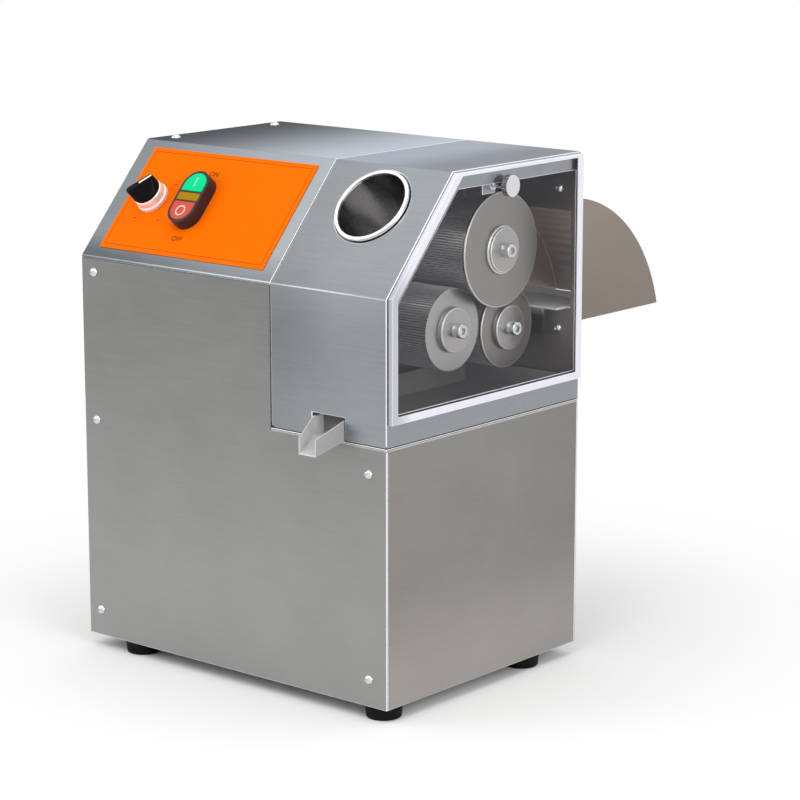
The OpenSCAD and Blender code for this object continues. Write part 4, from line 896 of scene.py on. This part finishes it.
@dataclass
class RollerSet:
    """One roller with its end disc, washer and bolt, turned about the roller's own axis."""

    look: Palette
    roller: Roller
    disc: str | None = None
    disc_colour: str = "#9b9894"
    disc_roughness: float = 0.42
    washer_colour: str = "#b4b2b0"
    washer_roughness: float = 0.3
    flute_edge_mm: float = 0.15
    disc_edge_mm: float = 0.3
    bolt_edge_mm: float = 0.2

    @property
    def drum(self) -> str:
        """Name of the roller's own node."""
        return f"{self.roller.value}_roller"

    def dress(self) -> None:
        """Finishes the drum, its disc and washer with their own axis, and the bolt."""
        look, place = self.look, self.roller.value
        _, y, z = joint_named(f"{self.drum}_spin")["pos_m"]
        low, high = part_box(self.drum)
        fluted = replace(look.drum, name=f"{look.drum.name}_{self.drum}", axis_y=y, axis_z=z,
                         crest_mm=(high[2] - low[2]) / 2 / MM)
        # The edges of the flutes, disc and washer carry the painted highlight
        finish_node(self.drum, fluted, self.flute_edge_mm, look.edge)
        if self.disc:
            blasted = TurnedSteel(f"blasted_disc_steel_{self.drum}", self.disc_colour,
                                  self.disc_roughness, axis_y=y, axis_z=z)
            finish_node(self.disc, blasted, self.disc_edge_mm, look.edge)
        turned = TurnedSteel(f"turned_washer_steel_{self.drum}", self.washer_colour,
                             self.washer_roughness, axis_y=y, axis_z=z)
        finish_node(f"{place}_washer", turned, self.disc_edge_mm, look.edge)
        finish_node(f"{place}_bolt", look.hardware, self.bolt_edge_mm)


@dataclass
class RollerCover:
    """The lift-off cover with its feed tube, window, trim and thumb screw."""

    look: Palette
    sheet_edge_mm: float = 0.6
    edge_highlight_colour: str = "#fdfdfe"
    # Heights over its foot between which the edge goes from painted shade to its painted highlight
    painted_shade_mm: tuple[float, float] = (1.0, 3.0)
    painted_shade_gain: float = 0.05
    bead_mm: float = 3.2
    trim_edge_mm: float = 0.4
    screw_edge_mm: float = 0.2
    nut_edge_mm: float = 0.3

    def dress(self) -> None:
        """Finishes the cover and what it carries."""
        look, slope = self.look, SlopePlane()
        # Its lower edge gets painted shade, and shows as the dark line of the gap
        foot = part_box("roller_cover")[0][2] / MM
        start, end = (foot + above for above in self.painted_shade_mm)
        folded = replace(look.edge, name="highlight_cover_edge", colour=self.edge_highlight_colour,
                         painted_shade_fade=Fade(Axis.Z, start, end, self.painted_shade_gain, 1.0))
        finish_node("roller_cover", look.cover, self.sheet_edge_mm, folded)
        mouth = slope.origin.dot(slope.outward) / MM + slope.outer_face("feed_tube")[1].z
        finish_node("feed_tube", replace(look.tube, outward=tuple(slope.outward),
                                         rim_from_mm=mouth - self.bead_mm))
        finish_node("window_pane", look.acrylic)
        finish_node("window_trim", look.trim, self.trim_edge_mm, look.trim_edge)
        finish_node("thumb_screw", look.hardware, self.screw_edge_mm)
        finish_node("thumb_nut", look.hardware, self.nut_edge_mm)


@dataclass
class Chamber:
    """The roller chamber's walls, the juice tray and the crushed cane outlet."""

    look: Palette
    fold_edge_mm: float = 0.5
    sheet_edge_mm: float = 0.4
    bolt_edge_mm: float = 0.15

    def dress(self) -> None:
        """Finishes the sheets round the rollers."""
        look = self.look
        finish_node("chamber_wall", look.inner, self.fold_edge_mm)
        finish_node("chamber_rear_wall", look.rear, self.sheet_edge_mm)
        finish_node("juice_tray", look.tray)
        finish_node("bagasse_guide", look.guide, self.sheet_edge_mm)
        finish_node("bagasse_hood", look.hood, self.fold_edge_mm)
        finish_node("hood_bolts", look.hardware, self.bolt_edge_mm)


@dataclass
class ControlPanel:
    """The orange control face with its selector, double push-button and printed marks."""

    look: Palette
    slope: SlopePlane = field(default_factory=SlopePlane)
    film_edge_mm: float = 0.2
    ring_edge_mm: float = 0.4
    knob_edge_mm: float = 0.8
    cap_edge_mm: float = 0.1
    print_mm: float = 0.06
    border_in_mm: float = 4.0
    border_line_mm: float = 0.7
    word_high_mm: float = 7.0
    # Places to the right of the selector's axis and up the slope
    on_at_mm: tuple[float, float] = (54.5, 32.5)
    off_at_mm: tuple[float, float] = (52.4, -37.7)
    ticks_at_mm: tuple[tuple[float, float], ...] = ((16.6, 17.7), (-10.3, -21.9), (18.5, -21.3))
    # Widths and lengths of the marks, and the ring's outer and inner radius
    tick_mm: tuple[float, float] = (4.2, 1.1)
    pointer_mm: tuple[float, float] = (1.8, 13.4)
    pointer_turn_deg: float = -45.0
    bar_mm: tuple[float, float] = (1.4, 9.5)
    ring_mm: tuple[float, float] = (5.4, 4.1)

    def dress(self) -> None:
        """Finishes the panel's solids and adds its prints."""
        look = self.look
        finish_node("control_overlay", look.orange, self.film_edge_mm)
        finish_node("selector_bezel", look.bezel, self.ring_edge_mm)
        finish_node("selector_knob", look.black, self.knob_edge_mm)
        finish_node("button_housing", look.housing, self.cap_edge_mm)
        finish_node("pilot_lens", look.amber, self.ring_edge_mm)
        finish_node("green_button", look.green, self.cap_edge_mm)
        finish_node("red_button", look.red, self.cap_edge_mm)
        self.print_overlay()
        self.print_switches()

    def print_overlay(self) -> None:
        """Prints the border line, the push-button's words and the selector's ticks."""
        low, high = self.slope.outer_face("control_overlay")
        middle, top = (low + high) / 2, high.z
        size = (high - low).to_2d() - Vector((2, 2)) * self.border_in_mm
        inner = size - Vector((2, 2)) * self.border_line_mm
        mesh = outline_mesh("overlay_border", [box_loop(*size), box_loop(*inner)],
                            self.print_mm, self.slope.placed(middle.x, middle.y, top))
        add_piece("overlay_border", mesh, self.look.line, "cabinet")
        for words, spot in (("ON", self.on_at_mm), ("OFF", self.off_at_mm)):
            name = f"word_{words.lower()}"
            mesh = text_mesh(name, words, self.word_high_mm, self.print_mm,
                             self.slope.placed(*spot, top))
            add_piece(name, mesh, self.look.ink, "cabinet")
        for number, spot in enumerate(self.ticks_at_mm, 1):
            name = f"selector_tick_{number}"
            mesh = outline_mesh(name, [box_loop(*self.tick_mm)], self.print_mm,
                                self.slope.placed(*spot, top))
            add_piece(name, mesh, self.look.line, "cabinet")

    def print_switches(self) -> None:
        """Prints the pointer on the knob, and a bar and a ring on the buttons."""
        top = self.slope.outer_face("selector_knob")[1].z
        width, length = self.pointer_mm
        mesh = outline_mesh("knob_pointer", [box_loop(width, length, length / 2)], self.print_mm,
                            self.slope.placed(0, 0, top, self.pointer_turn_deg))
        add_piece("knob_pointer", mesh, self.look.white, "selector")
        bar = [box_loop(*self.bar_mm)]
        ring = [round_loop(radius) for radius in self.ring_mm]
        for colour, loops, ink in (("green", bar, self.look.green_mark),
                                   ("red", ring, self.look.red_mark)):
            node = f"{colour}_button"
            low, high = self.slope.outer_face(node)
            middle = (low + high) / 2
            mesh = outline_mesh(f"{node}_sign", loops, self.print_mm,
                                self.slope.placed(middle.x, middle.y, high.z))
            add_piece(f"{node}_sign", mesh, ink, node)


@dataclass
class PhotoCamera:
    """The camera that took the picture, solved from the cabinet's corners."""

    azimuth_deg: float = 40.208
    elevation_deg: float = 12.185
    distance_m: float = 2.5
    target_m: tuple[float, float, float] = (0.0672, -0.038124, 0.2425)
    focal_px: float = 2808.7
    image_px: float = 800.0
    sensor_mm: float = 36.0

    def build(self) -> None:
        """Adds the camera and makes it the scene's own."""
        azimuth, elevation = math.radians(self.azimuth_deg), math.radians(self.elevation_deg)
        back = Vector((math.sin(azimuth) * math.cos(elevation),
                       -math.cos(azimuth) * math.cos(elevation), math.sin(elevation)))
        lens = bpy.data.cameras.new("photo_camera")
        lens.sensor_width = self.sensor_mm
        lens.sensor_fit = "HORIZONTAL"
        lens.lens = self.focal_px / self.image_px * self.sensor_mm
        camera = bpy.data.objects.new("photo_camera", lens)
        bpy.context.scene.collection.objects.link(camera)
        camera.location = Vector(self.target_m) + back * self.distance_m
        camera.rotation_euler = back.to_track_quat("Z", "Y").to_euler()
        bpy.context.scene.camera = camera


@dataclass(frozen=True)
class Lamp:
    """A square soft lamp: its place, what it faces, its side in metres and its power."""

    name: str
    place: tuple[float, float, float]
    aim: tuple[float, float, float]
    side_m: float
    watts: float

    def build(self) -> None:
        """Adds the lamp and turns it to what it faces."""
        light = bpy.data.lights.new(self.name, "AREA")
        light.size = self.side_m
        light.energy = self.watts
        lamp = bpy.data.objects.new(self.name, light)
        bpy.context.scene.collection.objects.link(lamp)
        lamp.location = self.place
        back = Vector(self.place) - Vector(self.aim)
        lamp.rotation_euler = back.to_track_quat("Z", "Y").to_euler()


@dataclass
class Studio:
    """A pale floor, a white surround and large soft lamps."""

    floor_m: float = 14.0
    floor_colour: str = "#f6f6f6"
    floor_roughness: float = 0.9
    # Distances from the middle between which the floor goes over to plain white
    floor_fade_m: tuple[float, float] = (0.26, 0.62)
    fill_strength: float = 0.72
    lamps: tuple[Lamp, ...] = (
        Lamp("key", (-1.39, -1.5, 1.06), (0, 0, 0.3), 1.2, 10.0),
        Lamp("right", (2.1, -0.6, 1.0), (0.1, 0, 0.3), 1.2, 16.0),
        Lamp("top", (0.2, 0.3, 2.4), (0, 0, 0.3), 1.8, 10.0),
        Lamp("front", (0.4, -1.5, 2.2), (0, 0, 0.3), 1.2, 10.0),
    )

    def build(self) -> None:
        """Adds the floor, the world and the lamps."""
        self.add_floor()
        self.light_world()
        for lamp in self.lamps:
            lamp.build()

    def add_floor(self) -> None:
        """Lays a pale floor that keeps the shadow."""
        mesh = bpy.data.meshes.new("floor")
        corners = [(x, y, 0) for x, y in box_loop(self.floor_m, self.floor_m)]
        mesh.from_pydata(corners, [], [(0, 1, 2, 3)])
        floor = bpy.data.objects.new("floor", mesh)
        bpy.context.scene.collection.objects.link(floor)
        mesh.materials.append(self.floor_material())

    def seen_rays(self, tree: Tree) -> Socket:
        """Tells rays from the camera, from gloss and through glass from those that only light.

        Args:
            tree: The tree of the floor or of the world.

        Returns:
            A socket that is one for the first kind, and else zero.
        """
        path = add_node(tree, "ShaderNodeLightPath")
        seen = add_node(tree, "ShaderNodeMath", {"operation": "MAXIMUM"},
                        {0: path.outputs["Is Camera Ray"], 1: path.outputs["Is Glossy Ray"]})
        shown = add_node(tree, "ShaderNodeMath", {"operation": "MAXIMUM"},
                         {0: seen.outputs[0], 1: path.outputs["Is Transmission Ray"]})
        return shown.outputs[0]

    def floor_material(self) -> bpy.types.Material:
        """Makes a matt pale floor that goes over to plain white away from the machine.

        Returns:
            The material.
        """
        material = bpy.data.materials.new("pale_floor")
        material.use_nodes = True
        tree = material.node_tree
        tree.nodes.clear()
        place = add_node(tree, "ShaderNodeTexCoord")
        reach = add_node(tree, "ShaderNodeVectorMath", {"operation": "LENGTH"},
                         {0: place.outputs["Object"]})
        near, far = self.floor_fade_m
        away = add_node(tree, "ShaderNodeMapRange",
                        {"interpolation_type": "SMOOTHSTEP", "From Min": near, "From Max": far},
                        {"Value": reach.outputs["Value"]})
        plain = add_node(tree, "ShaderNodeMath", {"operation": "MULTIPLY"},
                         {0: away.outputs[0], 1: self.seen_rays(tree)})
        matt = add_node(tree, "ShaderNodeBsdfPrincipled",
                        {"Base Color": linear(self.floor_colour),
                         "Roughness": self.floor_roughness, "Specular IOR Level": 0.0})
        white = add_node(tree, "ShaderNodeEmission", {"Color": (1, 1, 1, 1), "Strength": 1.0})
        mix = add_node(tree, "ShaderNodeMixShader",
                       links={0: plain.outputs[0], 1: matt.outputs[0], 2: white.outputs[0]})
        add_node(tree, "ShaderNodeOutputMaterial", links={"Surface": mix.outputs[0]})
        return material

    def light_world(self) -> None:
        """Makes the surround white to the eye and in reflections, and softer as light."""
        world = bpy.data.worlds.new("studio")
        bpy.context.scene.world = world
        world.use_nodes = True
        tree = world.node_tree
        tree.nodes.clear()
        strength = add_node(tree, "ShaderNodeMapRange",
                            {"To Min": self.fill_strength, "To Max": 1.0},
                            {"Value": self.seen_rays(tree)})
        sky = add_node(tree, "ShaderNodeBackground", {"Color": (1, 1, 1, 1)},
                       {"Strength": strength.outputs[0]})
        add_node(tree, "ShaderNodeOutputWorld", links={"Surface": sky.outputs[0]})


def main() -> None:
    """Builds each sub-assembly's looks, then the studio and the camera."""
    logging.basicConfig(level=logging.INFO)
    bpy.context.scene.view_settings.view_transform = "Standard"
    look = Palette()
    Cabinet(look).dress()
    Drive(look).dress()
    RollerSet(look, Roller.TOP, "top_flange").dress()
    RollerSet(look, Roller.FRONT).dress()
    RollerSet(look, Roller.REAR, "rear_disc").dress()
    RollerCover(look).dress()
    Chamber(look).dress()
    ControlPanel(look).dress()
    Studio().build()
    PhotoCamera().build()


if __name__ == "__main__":
    main()
